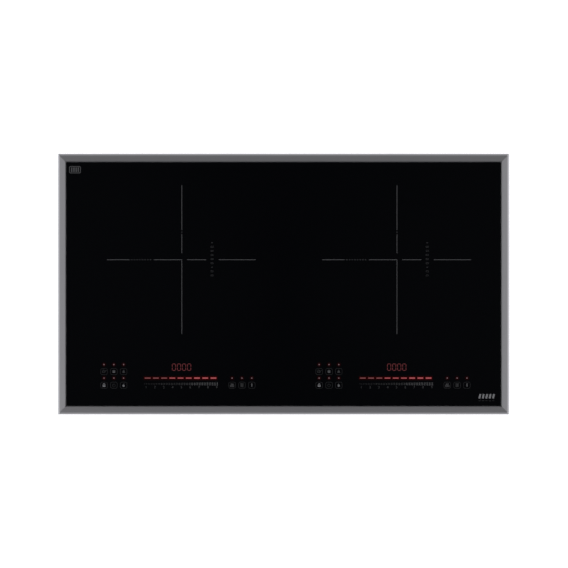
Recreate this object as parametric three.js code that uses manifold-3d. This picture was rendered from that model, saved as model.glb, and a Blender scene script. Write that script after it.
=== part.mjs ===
// A two-zone induction cooktop that hangs in a worktop cut-out, as an assembly of separate pieces.
// Millimetres, +Z up, +X to the right, -Y towards the cook.
// The origin is under the middle of the base tray, on the plane that the tray stands on.
import * as THREE from "three";
import { mergeVertices } from "three/addons/utils/BufferGeometryUtils.js";
import Module from "manifold-3d";

const wasm = await Module();
wasm.setup();

// ---------------------------------------------------------------- driving dimensions

const fitGap = 0.3; // left between two pieces that touch
const overlapForCuts = 1; // how far a cutting tool runs past the face it opens

const overallWidth = 730;
const overallDepth = 422;
const overallHeight = 78;

// Bevelled metal frame, in four mitred rails
const railWidth = 14;
const railTopFlat = 0.8;
const railProud = 0.5; // the rail's top stands this far over the glass
const bevelFall = 2.4;
const lipWidth = 4;
const lipUpright = 0.6;
const lipRoundSteps = 4;
const ledgeWidth = 16; // the glass is bonded down on this ledge
const ledgeThickness = 1.2;

const glassThickness = 4;
const glassCornerRadius = 2;

const sealThickness = 1.5;
const sealWidth = 14;
const sealInset = 4;

// Sheet-steel base tray
const sheetThickness = 1;
const trayInset = 33; // from the frame's outer edge to the tray's wall
const trayCornerRadius = 8;
const trayFlangeWidth = 10;
const ventSlotWidth = 4;
const ventSlotPitch = 9;
const rearVentCount = 11;
const rearVentHeight = 22;
const frontVentCount = 9;
const frontVentHeight = 16;
const ventSill = 12; // height of the wall slots' lower ends
const intakeSlotCount = 7;
const bossRadius = 4;
const bossHeight = 5;
const bossInset = 7; // from a board's edge to its bosses' centres

// The two cooking zones sit a little to the right of the middle
const zoneSpacing = 346.7;
const zoneShift = 9.4;
const zoneFromRear = 171.8; // from the frame's rear edge to the zones' centres

// Coil, stacked down from the glass
const micaRadius = 108;
const micaHoleRadius = 12;
const micaThickness = 0.8;
const windingRadius = 104;
const windingHoleRadius = 24;
const windingThickness = 4;
const carrierRadius = 110;
const carrierRimWidth = 10;
const carrierHubRadius = 22;
const carrierThickness = 4;
const spokeCount = 8;
const spokeWidth = 13;

// Coil springs and their guide pins
const springCount = 3;
const springCircleRadius = 95;
const springLength = 14;
const springRadius = 5.4;
const springWireRadius = 0.65;
const springTurns = 3.5;
const pinRadius = 2.5;
const pinClearance = 0.7;
const pinBelowPlate = 3;
const springPadRadius = 9;

const supportMargin = 2; // the support plate's edge past the coil carrier
const supportThickness = 1.2;
const supportLegWidth = 18;
const supportFootLength = 10;
const supportCentreHoleRadius = 14;

// Heat sensor, sprung up through the middle of the coil
const sensorPadRadius = 10;
const sensorPadThickness = 2;
const sensorStemRadius = 4;
const sensorStemBelow = 4; // how far the stem hangs under the carrier
const hubFloorThickness = 1.5;
const hubRecessClearance = 1;
const sensorSpringRadius = 7;
const sensorSpringWireRadius = 0.4;
const sensorSpringTurns = 2.5;

// Axial cooling fan, lying flat over its intake slots
const fanSize = 80;
const fanThickness = 20;
const fanLeft = -130; // its left edge, from the zone's centre
const fanBack = 30.8; // its centre, behind the zone's centre
const fanBoreWall = 2.5;
const fanHoleRadius = 2.2;
const fanHoleInset = 4.25;
const fanHubRadius = 17;
const fanPlateThickness = 3;
const fanStrutWidth = 4;
const fanStrutCount = 4;
const fanBearingRadius = 4;
const fanBearingHeight = 9;
const fanShaftRadius = 1.5;
const fanShaftClearance = 0.4;
const bladeCount = 7;
const bladeTipClearance = 1;
const bladeThickness = 1.4;
const bladeChord = 16;
const bladeRootPitch = THREE.MathUtils.degToRad(48);
const bladeTipPitch = THREE.MathUtils.degToRad(30);
const rotorCupWall = 1.5;

// Circuit boards
const boardThickness = 1.6;
const powerBoardGap = 12; // between the fan and the power board
const powerBoardWidth = 130;
const powerBoardDepth = 190;
const powerBoardBack = -4.2;
const sinkLength = 100;
const sinkWidth = 60;
const sinkHeight = 31;
const sinkBase = 5;
const sinkSideWall = 3;
const sinkFinThickness = 1.6;
const sinkFinCount = 9;
const sinkEdge = 10; // from the board's left edge
const transistorSize = [16, 5, 21];
const rectifierSize = [22, 5, 18];
const deviceLift = 4; // a device's body stands this far off the board
const transistorAlongSink = 24;
const rectifierAlongSink = 68;
const resonanceCapacitorSize = [42, 24, 30];
const smoothingCapacitorSize = [30, 16, 26];
const capacitorRow = -44.2;
const chokeRadius = 15;
const chokeHoleRadius = 7;
const chokeHeight = 13;
const chokeRow = -75.2;
const componentMargin = 8;

const filterBoardWidth = 40;
const filterBoardDepth = 88;
const filterBoardFront = 20;
const terminalBlockSize = [34, 22, 20];
const terminalBlockGap = 10;

// Touch panel, pressed up under the front of the glass
const panelShift = -6.4; // the panel's middle, from the zone's centre
const panelWidth = 263;
const panelDepth = 53;
const panelFrontGap = 3;
const panelFloorThickness = 2;
const panelRimHeight = 10;
const panelRimThickness = 1.6;
const panelLegSize = 8;
const panelRibHeight = 4;
const panelRibWidth = 3;
const lightBoxHeight = 12;
const lightBoxWidth = 124;
const lightBoxDepth = 32;
const lightBoxBack = 15; // from the panel's front edge to the box's
const lightBoxShift = 4.4; // from the panel's middle
const displayWindow = [33, 13];
const displayRow = 39.6; // from the panel's front edge
const barWindow = [10.2, 3.2];
const barCount = 9;
const barPitch = 13.2;
const barRow = 22.7;
const lightWellDepth = 8;

// Swing clamps that grip the underside of the worktop
const clampRow = 110; // distance of each clamp from the middle, in y
const clampAxisOut = 7; // from the tray's wall to the screw
const lugThickness = 1.5;
const lugWidth = 16;
const lugDepth = 12.5;
const lowerLugHeight = 17;
const upperLugHeight = 63;
const clampScrewRadius = 2.2;
const clampBoreClearance = 0.5;
const screwHeadRadius = 4.5;
const screwHeadHeight = 3.5;
const screwHeadSides = 6;
const screwEndPastLug = 2.5;
const clampHubRadius = 6;
const clampHubHeight = 10;
const clampArmLength = 24;
const clampArmThickness = 3;
const clampRibThickness = 2;

// Gland for the mains cable, in the rear wall between the zones
const glandHeight = 30;
const glandBoreRadius = 6.5;
const glandNeckRadius = 9.2;
const glandHoleClearance = 0.5;
const glandFlangeRadius = 14;
const glandFlangeThickness = 4;
const glandNoseRadius = 10.5;
const glandNoseLength = 7;
const glandNutRadius = 13;
const glandNutThickness = 6;

// Facets round a circle, by how large the circle is
const coilSides = 32;
const mediumSides = 24;
const smallSides = 12;

// ---------------------------------------------------------------- heights, from the top down

const railHeight = ledgeThickness + fitGap + glassThickness + railProud;
const frameBottom = overallHeight - railHeight;
const glassBottom = frameBottom + ledgeThickness + fitGap;
const trayTop = frameBottom - fitGap;
const micaTop = glassBottom - fitGap;
const windingTop = micaTop - micaThickness - fitGap;
const carrierTop = windingTop - windingThickness - fitGap;
const carrierBottom = carrierTop - carrierThickness;
const springTop = carrierBottom - fitGap;
const springBottom = springTop - springLength;
const supportTop = springBottom - fitGap;
const floorTop = sheetThickness + fitGap; // where a piece on the tray's floor stands
const boardBottom = sheetThickness + bossHeight + fitGap;
const componentBottom = boardBottom + boardThickness + fitGap;

// ---------------------------------------------------------------- plan positions

const trayHalfWidth = overallWidth / 2 - trayInset;
const trayHalfDepth = overallDepth / 2 - trayInset;
const innerHalfDepth = trayHalfDepth - sheetThickness;
const zoneRear = overallDepth / 2 - zoneFromRear;
const zones = [
  { side: "left", x: zoneShift - zoneSpacing / 2 },
  { side: "right", x: zoneShift + zoneSpacing / 2 },
];
const fanCentre = [fanLeft + fanSize / 2, fanBack];
const fanBoreRadius = fanSize / 2 - fanBoreWall;
const powerBoardLeft = fanLeft + fanSize + powerBoardGap;
const sinkLeft = powerBoardLeft + sinkEdge;
const panelFront = -innerHalfDepth + panelFrontGap;
const clamps = [
  { name: "front_left", x: -1, y: -1 },
  { name: "front_right", x: 1, y: -1 },
  { name: "rear_left", x: -1, y: 1 },
  { name: "rear_right", x: 1, y: 1 },
];

// ---------------------------------------------------------------- materials

const finish = (color, roughness, metalness = 0) =>
  new THREE.MeshStandardMaterial({ color, roughness, metalness });
const blackGlass = finish(0x050608, 0.06);
const brushedMetal = finish(0x8a8a8e, 0.35, 1);
const foam = finish(0x1c1c1e, 0.95);
const paintedSteel = finish(0x202124, 0.5, 0.3);
const aluminium = finish(0xb8bbc0, 0.4, 1);
const zincSteel = finish(0xa3a6aa, 0.4, 1);
const copper = finish(0xb06a3a, 0.45, 0.8);
const mica = finish(0xcfc4a8, 0.7);
const darkPlastic = finish(0x1a1b1d, 0.55);
const lightPlastic = finish(0xd8d8d2, 0.5);
const heatPlastic = finish(0x3b2f28, 0.6);
const boardGreen = finish(0x1f5a34, 0.5);
const capacitorCase = finish(0x8c2f22, 0.45);
const ferrite = finish(0x2b2c2e, 0.6);
const siliconePad = finish(0xe6e4dd, 0.6);

// ---------------------------------------------------------------- solids

const axisX = new THREE.Vector3(1, 0, 0);
const axisY = new THREE.Vector3(0, 1, 0);
const axisZ = new THREE.Vector3(0, 0, 1);

// A closed three.js geometry as a solid that can be joined and cut.
function solidOf(geometry) {
  const bare = geometry.clone();
  bare.deleteAttribute("normal");
  bare.deleteAttribute("uv");
  const merged = mergeVertices(bare, 1e-4);
  const triVerts = new Uint32Array(merged.index.array);
  const vertProperties = new Float32Array(merged.attributes.position.array);
  return new wasm.Manifold(new wasm.Mesh({ numProp: 3, vertProperties, triVerts }));
}

// The solid as a three.js geometry again.
function geometryOf(solid) {
  const mesh = solid.getMesh();
  const geometry = new THREE.BufferGeometry();
  geometry.setAttribute("position", new THREE.BufferAttribute(mesh.vertProperties, 3));
  geometry.setIndex(new THREE.BufferAttribute(mesh.triVerts, 1));
  const flat = geometry.toNonIndexed();
  flat.computeVertexNormals();
  return flat;
}

const join = (...solids) => solids.reduce((whole, piece) => whole.add(piece));
const cut = (body, ...tools) => tools.reduce((rest, tool) => rest.subtract(tool), body);

// A box from its lowest corner to its highest.
function box([x0, y0, z0], [x1, y1, z1]) {
  const geometry = new THREE.BoxGeometry(x1 - x0, y1 - y0, z1 - z0);
  return solidOf(geometry.translate((x0 + x1) / 2, (y0 + y1) / 2, (z0 + z1) / 2));
}

// A box of a given size, standing at height z over the point (x, y).
const boxOn = (x, y, z, [width, depth, height]) =>
  box([x - width / 2, y - depth / 2, z], [x + width / 2, y + depth / 2, z + height]);

// An upright round bar.
function bar(x, y, z0, z1, radius, sides = smallSides) {
  const geometry = new THREE.CylinderGeometry(radius, radius, z1 - z0, sides);
  return solidOf(geometry.rotateX(Math.PI / 2).translate(x, y, (z0 + z1) / 2));
}

// An upright ring.
const ring = (x, y, z0, z1, radius, holeRadius, sides = smallSides) =>
  cut(
    bar(x, y, z0, z1, radius, sides),
    bar(x, y, z0 - overlapForCuts, z1 + overlapForCuts, holeRadius, sides),
  );

// An outline extruded upwards from z0 to z1.
function slab(shape, z0, z1) {
  const geometry = new THREE.ExtrudeGeometry(shape, {
    depth: z1 - z0,
    bevelEnabled: false,
    curveSegments: 3,
  });
  return solidOf(geometry.translate(0, 0, z0));
}

// A rectangle about the origin with round corners.
function roundedRectangle(halfWidth, halfDepth, radius) {
  const shape = new THREE.Shape();
  shape.moveTo(-halfWidth + radius, -halfDepth);
  shape.lineTo(halfWidth - radius, -halfDepth);
  shape.absarc(halfWidth - radius, -halfDepth + radius, radius, -Math.PI / 2, 0);
  shape.lineTo(halfWidth, halfDepth - radius);
  shape.absarc(halfWidth - radius, halfDepth - radius, radius, 0, Math.PI / 2);
  shape.lineTo(-halfWidth + radius, halfDepth);
  shape.absarc(-halfWidth + radius, halfDepth - radius, radius, Math.PI / 2, Math.PI);
  shape.lineTo(-halfWidth, -halfDepth + radius);
  shape.absarc(-halfWidth + radius, -halfDepth + radius, radius, Math.PI, Math.PI * 1.5);
  return shape;
}

// Turns a solid about the vertical line through (x, y).
function turned(solid, angle, x = 0, y = 0) {
  const geometry = geometryOf(solid).translate(-x, -y, 0).rotateZ(angle).translate(x, y, 0);
  return solidOf(geometry);
}

// An open coil spring standing on z0, wound round the line through (x, y).
function coilSpring(x, y, z0, z1, radius, wireRadius, turns) {
  const stepsPerTurn = 8;
  const wireSides = 5;
  const centres = [];
  const count = Math.round(turns * stepsPerTurn);
  const rise = z1 - z0 - 2 * wireRadius;
  for (let i = 0; i <= count; i += 1) {
    const angle = (2 * Math.PI * turns * i) / count;
    const height = z0 + wireRadius + (rise * i) / count;
    centres.push(new THREE.Vector3(x + radius * Math.cos(angle), y + radius * Math.sin(angle), height));
  }
  const section = new THREE.Shape();
  for (let i = 0; i < wireSides; i += 1) {
    const angle = (2 * Math.PI * i) / wireSides;
    section[i ? "lineTo" : "moveTo"](wireRadius * Math.cos(angle), wireRadius * Math.sin(angle));
  }
  const path = new THREE.CatmullRomCurve3(centres);
  return solidOf(new THREE.ExtrudeGeometry(section, { extrudePath: path, steps: count }));
}

// Names a solid and puts it in a group.
function place(group, name, solid, material) {
  const mesh = new THREE.Mesh(geometryOf(solid), material);
  mesh.name = name;
  group.add(mesh);
  return mesh;
}

// ---------------------------------------------------------------- frame, glass and seal

// One rail with its outer edge along y = -halfSpan, mitred at both ends.
function frameRail(length, halfSpan) {
  const creaseHeight = overallHeight - bevelFall;
  const uprightTop = frameBottom + lipUpright;
  const lip = new THREE.QuadraticBezierCurve(
    new THREE.Vector2(lipWidth, creaseHeight),
    new THREE.Vector2(lipWidth / 4, creaseHeight - lipWidth / 3),
    new THREE.Vector2(0, uprightTop),
  );
  const profile = new THREE.Shape([
    new THREE.Vector2(0, frameBottom),
    new THREE.Vector2(railWidth + ledgeWidth, frameBottom),
    new THREE.Vector2(railWidth + ledgeWidth, frameBottom + ledgeThickness),
    new THREE.Vector2(railWidth, frameBottom + ledgeThickness),
    new THREE.Vector2(railWidth, overallHeight),
    new THREE.Vector2(railWidth - railTopFlat, overallHeight),
    ...lip.getPoints(lipRoundSteps),
  ]);
  const straight = new THREE.ExtrudeGeometry(profile, { depth: length, bevelEnabled: false });
  const alongX = new THREE.Matrix4().makeBasis(axisY, axisZ, axisX).setPosition(-length / 2, -halfSpan, 0);
  const mitreGap = (fitGap / 2) * Math.SQRT2;
  const outer = length / 2 - mitreGap;
  const inward = railWidth + ledgeWidth + overlapForCuts;
  const trapezium = new THREE.Shape([
    new THREE.Vector2(-outer, -halfSpan),
    new THREE.Vector2(outer, -halfSpan),
    new THREE.Vector2(outer - inward, -halfSpan + inward),
    new THREE.Vector2(-outer + inward, -halfSpan + inward),
  ]);
  const mitred = slab(trapezium, frameBottom - overlapForCuts, overallHeight + overlapForCuts);
  return solidOf(straight.applyMatrix4(alongX)).intersect(mitred);
}

function addFrame(group) {
  const rails = [
    ["frame_rail_front", overallWidth, overallDepth / 2],
    ["frame_rail_right", overallDepth, overallWidth / 2],
    ["frame_rail_rear", overallWidth, overallDepth / 2],
    ["frame_rail_left", overallDepth, overallWidth / 2],
  ];
  rails.forEach(([name, length, halfSpan], quarter) => {
    const rail = place(group, name, frameRail(length, halfSpan), brushedMetal);
    rail.rotation.z = (quarter * Math.PI) / 2;
  });
}

function glassPlate() {
  const inset = railWidth + fitGap;
  const outline = roundedRectangle(overallWidth / 2 - inset, overallDepth / 2 - inset, glassCornerRadius);
  return slab(outline, glassBottom, glassBottom + glassThickness);
}

// Foam strip between the frame and the worktop.
function worktopSeal() {
  const outerHalf = [overallWidth / 2 - sealInset, overallDepth / 2 - sealInset];
  const innerHalf = outerHalf.map((half) => half - sealWidth);
  const low = trayTop - sealThickness;
  return cut(
    box([-outerHalf[0], -outerHalf[1], low], [...outerHalf, trayTop]),
    box([-innerHalf[0], -innerHalf[1], low - overlapForCuts], [...innerHalf, trayTop + overlapForCuts]),
  );
}

// ---------------------------------------------------------------- base tray

// Evenly spaced upright slots through a wall that runs along x.
function wallSlots(x, y, count, height) {
  return Array.from({ length: count }, (_, i) => {
    const middle = x + (i - (count - 1) / 2) * ventSlotPitch;
    return boxOn(middle, y, ventSill, [ventSlotWidth, 4 * sheetThickness, height]);
  });
}

// Slots in the floor, cut to fill the circle under a fan.
function intakeSlots(x, y) {
  const reach = fanBoreRadius - fanBoreWall;
  return Array.from({ length: intakeSlotCount }, (_, i) => {
    const across = (i - (intakeSlotCount - 1) / 2) * ventSlotPitch;
    const length = 2 * Math.sqrt(reach ** 2 - across ** 2);
    return boxOn(x, y + across, -overlapForCuts, [length, ventSlotWidth, sheetThickness + 2 * overlapForCuts]);
  });
}

// Low pillars on the floor that a circuit board is screwed to.
function boardBosses(left, right, front, rear) {
  return [left + bossInset, right - bossInset].flatMap((x) =>
    [front + bossInset, rear - bossInset].map((y) =>
      bar(x, y, sheetThickness / 2, sheetThickness + bossHeight, bossRadius, 8),
    ),
  );
}

// A tab on the tray's side wall, bored for a clamp's screw.
function clampLug(clamp, height) {
  const wall = clamp.x * trayHalfWidth;
  const end = clamp.x * (trayHalfWidth + lugDepth);
  const root = wall - (clamp.x * sheetThickness) / 2;
  const y = clamp.y * clampRow;
  const tab = box(
    [Math.min(root, end), y - lugWidth / 2, height],
    [Math.max(root, end), y + lugWidth / 2, height + lugThickness],
  );
  const axis = clamp.x * (trayHalfWidth + clampAxisOut);
  const holeRadius = clampScrewRadius + clampBoreClearance;
  const hole = bar(axis, y, height - overlapForCuts, height + lugThickness + overlapForCuts, holeRadius);
  return cut(tab, hole);
}

function baseTray() {
  const outline = roundedRectangle(trayHalfWidth, trayHalfDepth, trayCornerRadius);
  const innerRadius = trayCornerRadius - sheetThickness;
  const inside = roundedRectangle(trayHalfWidth - sheetThickness, innerHalfDepth, innerRadius);
  const flangeOutline = roundedRectangle(
    trayHalfWidth + trayFlangeWidth,
    trayHalfDepth + trayFlangeWidth,
    trayCornerRadius + trayFlangeWidth,
  );
  const shell = cut(
    join(slab(outline, 0, trayTop), slab(flangeOutline, trayTop - sheetThickness, trayTop)),
    slab(inside, sheetThickness, trayTop + overlapForCuts),
  );
  const lugs = clamps.flatMap((clamp) => [lowerLugHeight, upperLugHeight].map((z) => clampLug(clamp, z)));
  const bosses = [
    ...zones.flatMap(({ x }) => {
      const left = x + powerBoardLeft;
      const front = zoneRear + powerBoardBack - powerBoardDepth / 2;
      return boardBosses(left, left + powerBoardWidth, front, front + powerBoardDepth);
    }),
    ...boardBosses(
      zoneShift - filterBoardWidth / 2,
      zoneShift + filterBoardWidth / 2,
      filterBoardFront,
      filterBoardFront + filterBoardDepth,
    ),
  ];
  const openings = zones.flatMap(({ x }) => [
    ...wallSlots(x, trayHalfDepth, rearVentCount, rearVentHeight),
    ...wallSlots(x, -trayHalfDepth, frontVentCount, frontVentHeight),
    ...intakeSlots(x + fanCentre[0], zoneRear + fanCentre[1]),
  ]);
  return cut(join(shell, ...lugs, ...bosses), ...openings, glandHole());
}

// ---------------------------------------------------------------- mains entry

// A round bar lying along y on the gland's axis.
function glandBar(y0, y1, radius, sides = smallSides * 2) {
  const geometry = new THREE.CylinderGeometry(radius, radius, y1 - y0, sides);
  return solidOf(geometry.translate(zoneShift, (y0 + y1) / 2, glandHeight));
}

const glandHole = () =>
  glandBar(
    innerHalfDepth - overlapForCuts,
    trayHalfDepth + overlapForCuts,
    glandNeckRadius + glandHoleClearance,
  );

// Flange and nose outside the wall, a neck through it, and the nut inside.
function cableGland() {
  const outside = trayHalfDepth + fitGap;
  const inside = innerHalfDepth - fitGap;
  const noseEnd = outside + glandFlangeThickness + glandNoseLength;
  const body = join(
    glandBar(inside - glandNutThickness, inside, glandNutRadius, 6),
    glandBar(inside - glandNutThickness, outside + glandFlangeThickness, glandNeckRadius),
    glandBar(outside, outside + glandFlangeThickness, glandFlangeRadius),
    glandBar(outside, noseEnd, glandNoseRadius),
  );
  const bore = glandBar(inside - glandNutThickness - overlapForCuts, noseEnd + overlapForCuts, glandBoreRadius);
  return cut(body, bore);
}

function terminalBlock() {
  const y = filterBoardFront + filterBoardDepth + terminalBlockGap + terminalBlockSize[1] / 2;
  const [width, depth, height] = terminalBlockSize;
  const poles = 3;
  const wellWidth = width / poles - 3;
  const wells = Array.from({ length: poles }, (_, i) => {
    const x = zoneShift + (i - (poles - 1) / 2) * (width / poles);
    return boxOn(x, y, floorTop + height / 3, [wellWidth, depth - 6, height]);
  });
  return cut(boxOn(zoneShift, y, floorTop, [width, depth, height]), ...wells);
}

const filterBoard = () =>
  boxOn(zoneShift, filterBoardFront + filterBoardDepth / 2, boardBottom, [
    filterBoardWidth,
    filterBoardDepth,
    boardThickness,
  ]);

// ---------------------------------------------------------------- coil and heat sensor

const springPoints = Array.from({ length: springCount }, (_, i) => {
  const angle = Math.PI / 2 + (2 * Math.PI * i) / springCount;
  return [springCircleRadius * Math.cos(angle), springCircleRadius * Math.sin(angle)];
});

// Spoked former that the coil is wound on, with a guide pin inside each spring.
function coilCarrier() {
  const recessRadius = sensorPadRadius + hubRecessClearance;
  const spokes = Array.from({ length: spokeCount / 2 }, (_, i) => {
    const reach = carrierRadius - carrierRimWidth / 2;
    const blank = box(
      [-reach, -spokeWidth / 2, carrierBottom],
      [reach, spokeWidth / 2, carrierTop],
    );
    return turned(blank, (2 * Math.PI * i) / spokeCount);
  });
  const rim = ring(0, 0, carrierBottom, carrierTop, carrierRadius, carrierRadius - carrierRimWidth, coilSides);
  const hub = bar(0, 0, carrierBottom, carrierTop, carrierHubRadius, mediumSides);
  const pinEnd = supportTop - supportThickness - pinBelowPlate;
  const pads = springPoints.map(([x, y]) => bar(x, y, carrierBottom, carrierTop, springPadRadius, smallSides));
  const pins = springPoints.map(([x, y]) => bar(x, y, pinEnd, carrierTop, pinRadius, 8));
  const recess = bar(0, 0, carrierBottom + hubFloorThickness, carrierTop + overlapForCuts, recessRadius, 20);
  const stemBore = bar(
    0,
    0,
    carrierBottom - overlapForCuts,
    carrierTop,
    sensorStemRadius + hubRecessClearance,
  );
  return cut(join(rim, hub, ...spokes, ...pads, ...pins), recess, stemBore);
}

const coilWinding = () =>
  ring(0, 0, windingTop - windingThickness, windingTop, windingRadius, windingHoleRadius, coilSides);

const micaDisc = () => ring(0, 0, micaTop - micaThickness, micaTop, micaRadius, micaHoleRadius, coilSides);

// Flat pad that touches the glass, on a stem through the carrier's hub.
function heatSensor() {
  const pad = bar(0, 0, micaTop - sensorPadThickness, micaTop, sensorPadRadius, 20);
  const stem = bar(0, 0, carrierBottom - sensorStemBelow, micaTop - overlapForCuts, sensorStemRadius);
  return join(pad, stem);
}

const sensorSpring = () =>
  coilSpring(
    0,
    0,
    carrierBottom + hubFloorThickness + fitGap,
    micaTop - sensorPadThickness - fitGap,
    sensorSpringRadius,
    sensorSpringWireRadius,
    sensorSpringTurns,
  );

// Aluminium plate on four legs that carries the springs and shields the electronics.
function coilSupport() {
  const half = carrierRadius + supportMargin;
  const under = supportTop - supportThickness;
  const plate = box([-half, -half, under], [half, half, supportTop]);
  const legs = [-1, 1].flatMap((sx) =>
    [-1, 1].map((sy) => {
      const legX = [sx * half, sx * (half - supportThickness)].sort((a, b) => a - b);
      const footX = [sx * half, sx * (half - supportFootLength)].sort((a, b) => a - b);
      const edge = sy * half;
      const spanY = [edge, edge - sy * supportLegWidth].sort((a, b) => a - b);
      const leg = box([legX[0], spanY[0], floorTop], [legX[1], spanY[1], supportTop]);
      const foot = box([footX[0], spanY[0], floorTop], [footX[1], spanY[1], floorTop + supportThickness]);
      return join(leg, foot);
    }),
  );
  const below = under - overlapForCuts;
  const above = supportTop + overlapForCuts;
  const pinHoles = springPoints.map(([x, y]) => bar(x, y, below, above, pinRadius + pinClearance));
  const centreHole = bar(0, 0, below, above, supportCentreHoleRadius, 16);
  return cut(join(plate, ...legs), ...pinHoles, centreHole);
}

// ---------------------------------------------------------------- fan

// Square housing with a round throat, struts to a hub plate, and the bearing tube on it.
function fanFrame() {
  const [x, y] = fanCentre;
  const top = floorTop + fanThickness;
  const plateTop = floorTop + fanPlateThickness;
  const holeOut = fanSize / 2 - fanHoleInset;
  const shell = cut(
    boxOn(x, y, floorTop, [fanSize, fanSize, fanThickness]),
    bar(x, y, floorTop - overlapForCuts, top + overlapForCuts, fanBoreRadius, mediumSides),
    ...[-1, 1].flatMap((sx) =>
      [-1, 1].map((sy) =>
        bar(x + sx * holeOut, y + sy * holeOut, floorTop - overlapForCuts, top + overlapForCuts, fanHoleRadius, 8),
      ),
    ),
  );
  const struts = Array.from({ length: fanStrutCount / 2 }, (_, i) => {
    const reach = fanBoreRadius + fanBoreWall / 2;
    const blank = box([x - reach, y - fanStrutWidth / 2, floorTop], [x + reach, y + fanStrutWidth / 2, plateTop]);
    return turned(blank, Math.PI / 4 + (2 * Math.PI * i) / fanStrutCount, x, y);
  });
  const hub = bar(x, y, floorTop, plateTop, fanHubRadius, mediumSides);
  const bearing = bar(x, y, floorTop, plateTop + fanBearingHeight, fanBearingRadius);
  const boreRadius = fanShaftRadius + fanShaftClearance;
  const bore = bar(x, y, plateTop - overlapForCuts, top, boreRadius);
  return cut(join(shell, ...struts, hub, bearing), bore);
}

// One blade, twisted from root to tip, before it is turned to its place round the hub.
function fanBlade(bottom, top) {
  const rootRadius = fanHubRadius - rotorCupWall / 2;
  const tipRadius = fanBoreRadius;
  const span = tipRadius - rootRadius;
  const geometry = new THREE.BoxGeometry(span, bladeChord, bladeThickness, 3, 1, 1);
  const position = geometry.attributes.position;
  for (let i = 0; i < position.count; i += 1) {
    const share = position.getX(i) / span + 0.5;
    const pitch = THREE.MathUtils.lerp(bladeRootPitch, bladeTipPitch, share);
    const along = position.getY(i);
    const thick = position.getZ(i);
    position.setXYZ(
      i,
      rootRadius + span * share,
      along * Math.cos(pitch) - thick * Math.sin(pitch),
      (bottom + top) / 2 + along * Math.sin(pitch) + thick * Math.cos(pitch),
    );
  }
  return solidOf(geometry);
}

// Cup that covers the motor, its shaft, and the blades round it.
function fanRotor() {
  const bottom = floorTop + fanPlateThickness + 1;
  const top = floorTop + fanThickness - 1;
  const cup = cut(
    bar(0, 0, bottom, top, fanHubRadius, mediumSides),
    bar(0, 0, bottom - overlapForCuts, top - rotorCupWall, fanHubRadius - rotorCupWall, mediumSides),
  );
  const shaft = bar(0, 0, bottom, top - rotorCupWall / 2, fanShaftRadius, 8);
  const swept = bar(0, 0, bottom, top, fanBoreRadius - bladeTipClearance, mediumSides);
  const blade = fanBlade(bottom, top);
  const blades = Array.from({ length: bladeCount }, (_, i) => turned(blade, (2 * Math.PI * i) / bladeCount));
  return join(cup, join(...blades).intersect(swept), shaft);
}

// ---------------------------------------------------------------- power electronics

function powerBoard() {
  const front = powerBoardBack - powerBoardDepth / 2;
  return box(
    [powerBoardLeft, front, boardBottom],
    [powerBoardLeft + powerBoardWidth, front + powerBoardDepth, boardBottom + boardThickness],
  );
}

// Finned extrusion, with its channels in line with the fan's air.
function heatSink() {
  const low = [sinkLeft, fanBack - sinkWidth / 2, componentBottom];
  const high = [sinkLeft + sinkLength, fanBack + sinkWidth / 2, componentBottom + sinkHeight];
  const clear = sinkWidth - 2 * sinkSideWall;
  const channels = sinkFinCount + 1;
  const channelWidth = (clear - sinkFinCount * sinkFinThickness) / channels;
  const cuts = Array.from({ length: channels }, (_, i) => {
    const y = low[1] + sinkSideWall + i * (channelWidth + sinkFinThickness);
    return box(
      [low[0] - overlapForCuts, y, low[2] + sinkBase],
      [high[0] + overlapForCuts, y + channelWidth, high[2] + overlapForCuts],
    );
  });
  return cut(box(low, high), ...cuts);
}

// A flat power device, clipped upright against the heat sink's front wall.
function sinkDevice(alongSink, size) {
  const y = fanBack - sinkWidth / 2 - fitGap - size[1] / 2;
  return boxOn(sinkLeft + alongSink, y, componentBottom + deviceLift, size);
}

function resonanceCapacitor() {
  const x = powerBoardLeft + powerBoardWidth - componentMargin - resonanceCapacitorSize[0] / 2;
  return boxOn(x, capacitorRow, componentBottom, resonanceCapacitorSize);
}

function smoothingCapacitor() {
  const x = powerBoardLeft + componentMargin + smoothingCapacitorSize[0] / 2;
  return boxOn(x, capacitorRow, componentBottom, smoothingCapacitorSize);
}

function filterChoke() {
  const x = powerBoardLeft + componentMargin + chokeRadius;
  return ring(x, chokeRow, componentBottom, componentBottom + chokeHeight, chokeRadius, chokeHoleRadius, 20);
}

// ---------------------------------------------------------------- touch panel

const lightBoxBottom = glassBottom - fitGap - lightBoxHeight;
const controlBoardBottom = lightBoxBottom - fitGap - boardThickness;
const panelFloorTop = controlBoardBottom - fitGap - panelRibHeight;
const panelFloorBottom = panelFloorTop - panelFloorThickness;

// Open plastic tray on four legs, with ribs that the board lies on.
function controlTray() {
  const half = panelWidth / 2;
  const rimTop = panelFloorTop + panelRimHeight;
  const shell = cut(
    box([-half, 0, panelFloorBottom], [half, panelDepth, rimTop]),
    box(
      [-half + panelRimThickness, panelRimThickness, panelFloorTop],
      [half - panelRimThickness, panelDepth - panelRimThickness, rimTop + overlapForCuts],
    ),
  );
  const legs = [-half, half - panelLegSize].flatMap((x) =>
    [0, panelDepth - panelLegSize].map((y) =>
      box([x, y, floorTop], [x + panelLegSize, y + panelLegSize, panelFloorTop]),
    ),
  );
  const ribs = [-1, 0, 1].map((third) => {
    const x = (third * panelWidth) / 3;
    return box(
      [x - panelRibWidth / 2, panelRimThickness / 2, panelFloorBottom],
      [x + panelRibWidth / 2, panelDepth - panelRimThickness / 2, panelFloorTop + panelRibHeight],
    );
  });
  return join(shell, ...legs, ...ribs);
}

function controlBoard() {
  const inset = panelRimThickness + fitGap;
  return box(
    [-panelWidth / 2 + inset, inset, controlBoardBottom],
    [panelWidth / 2 - inset, panelDepth - inset, controlBoardBottom + boardThickness],
  );
}

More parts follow.
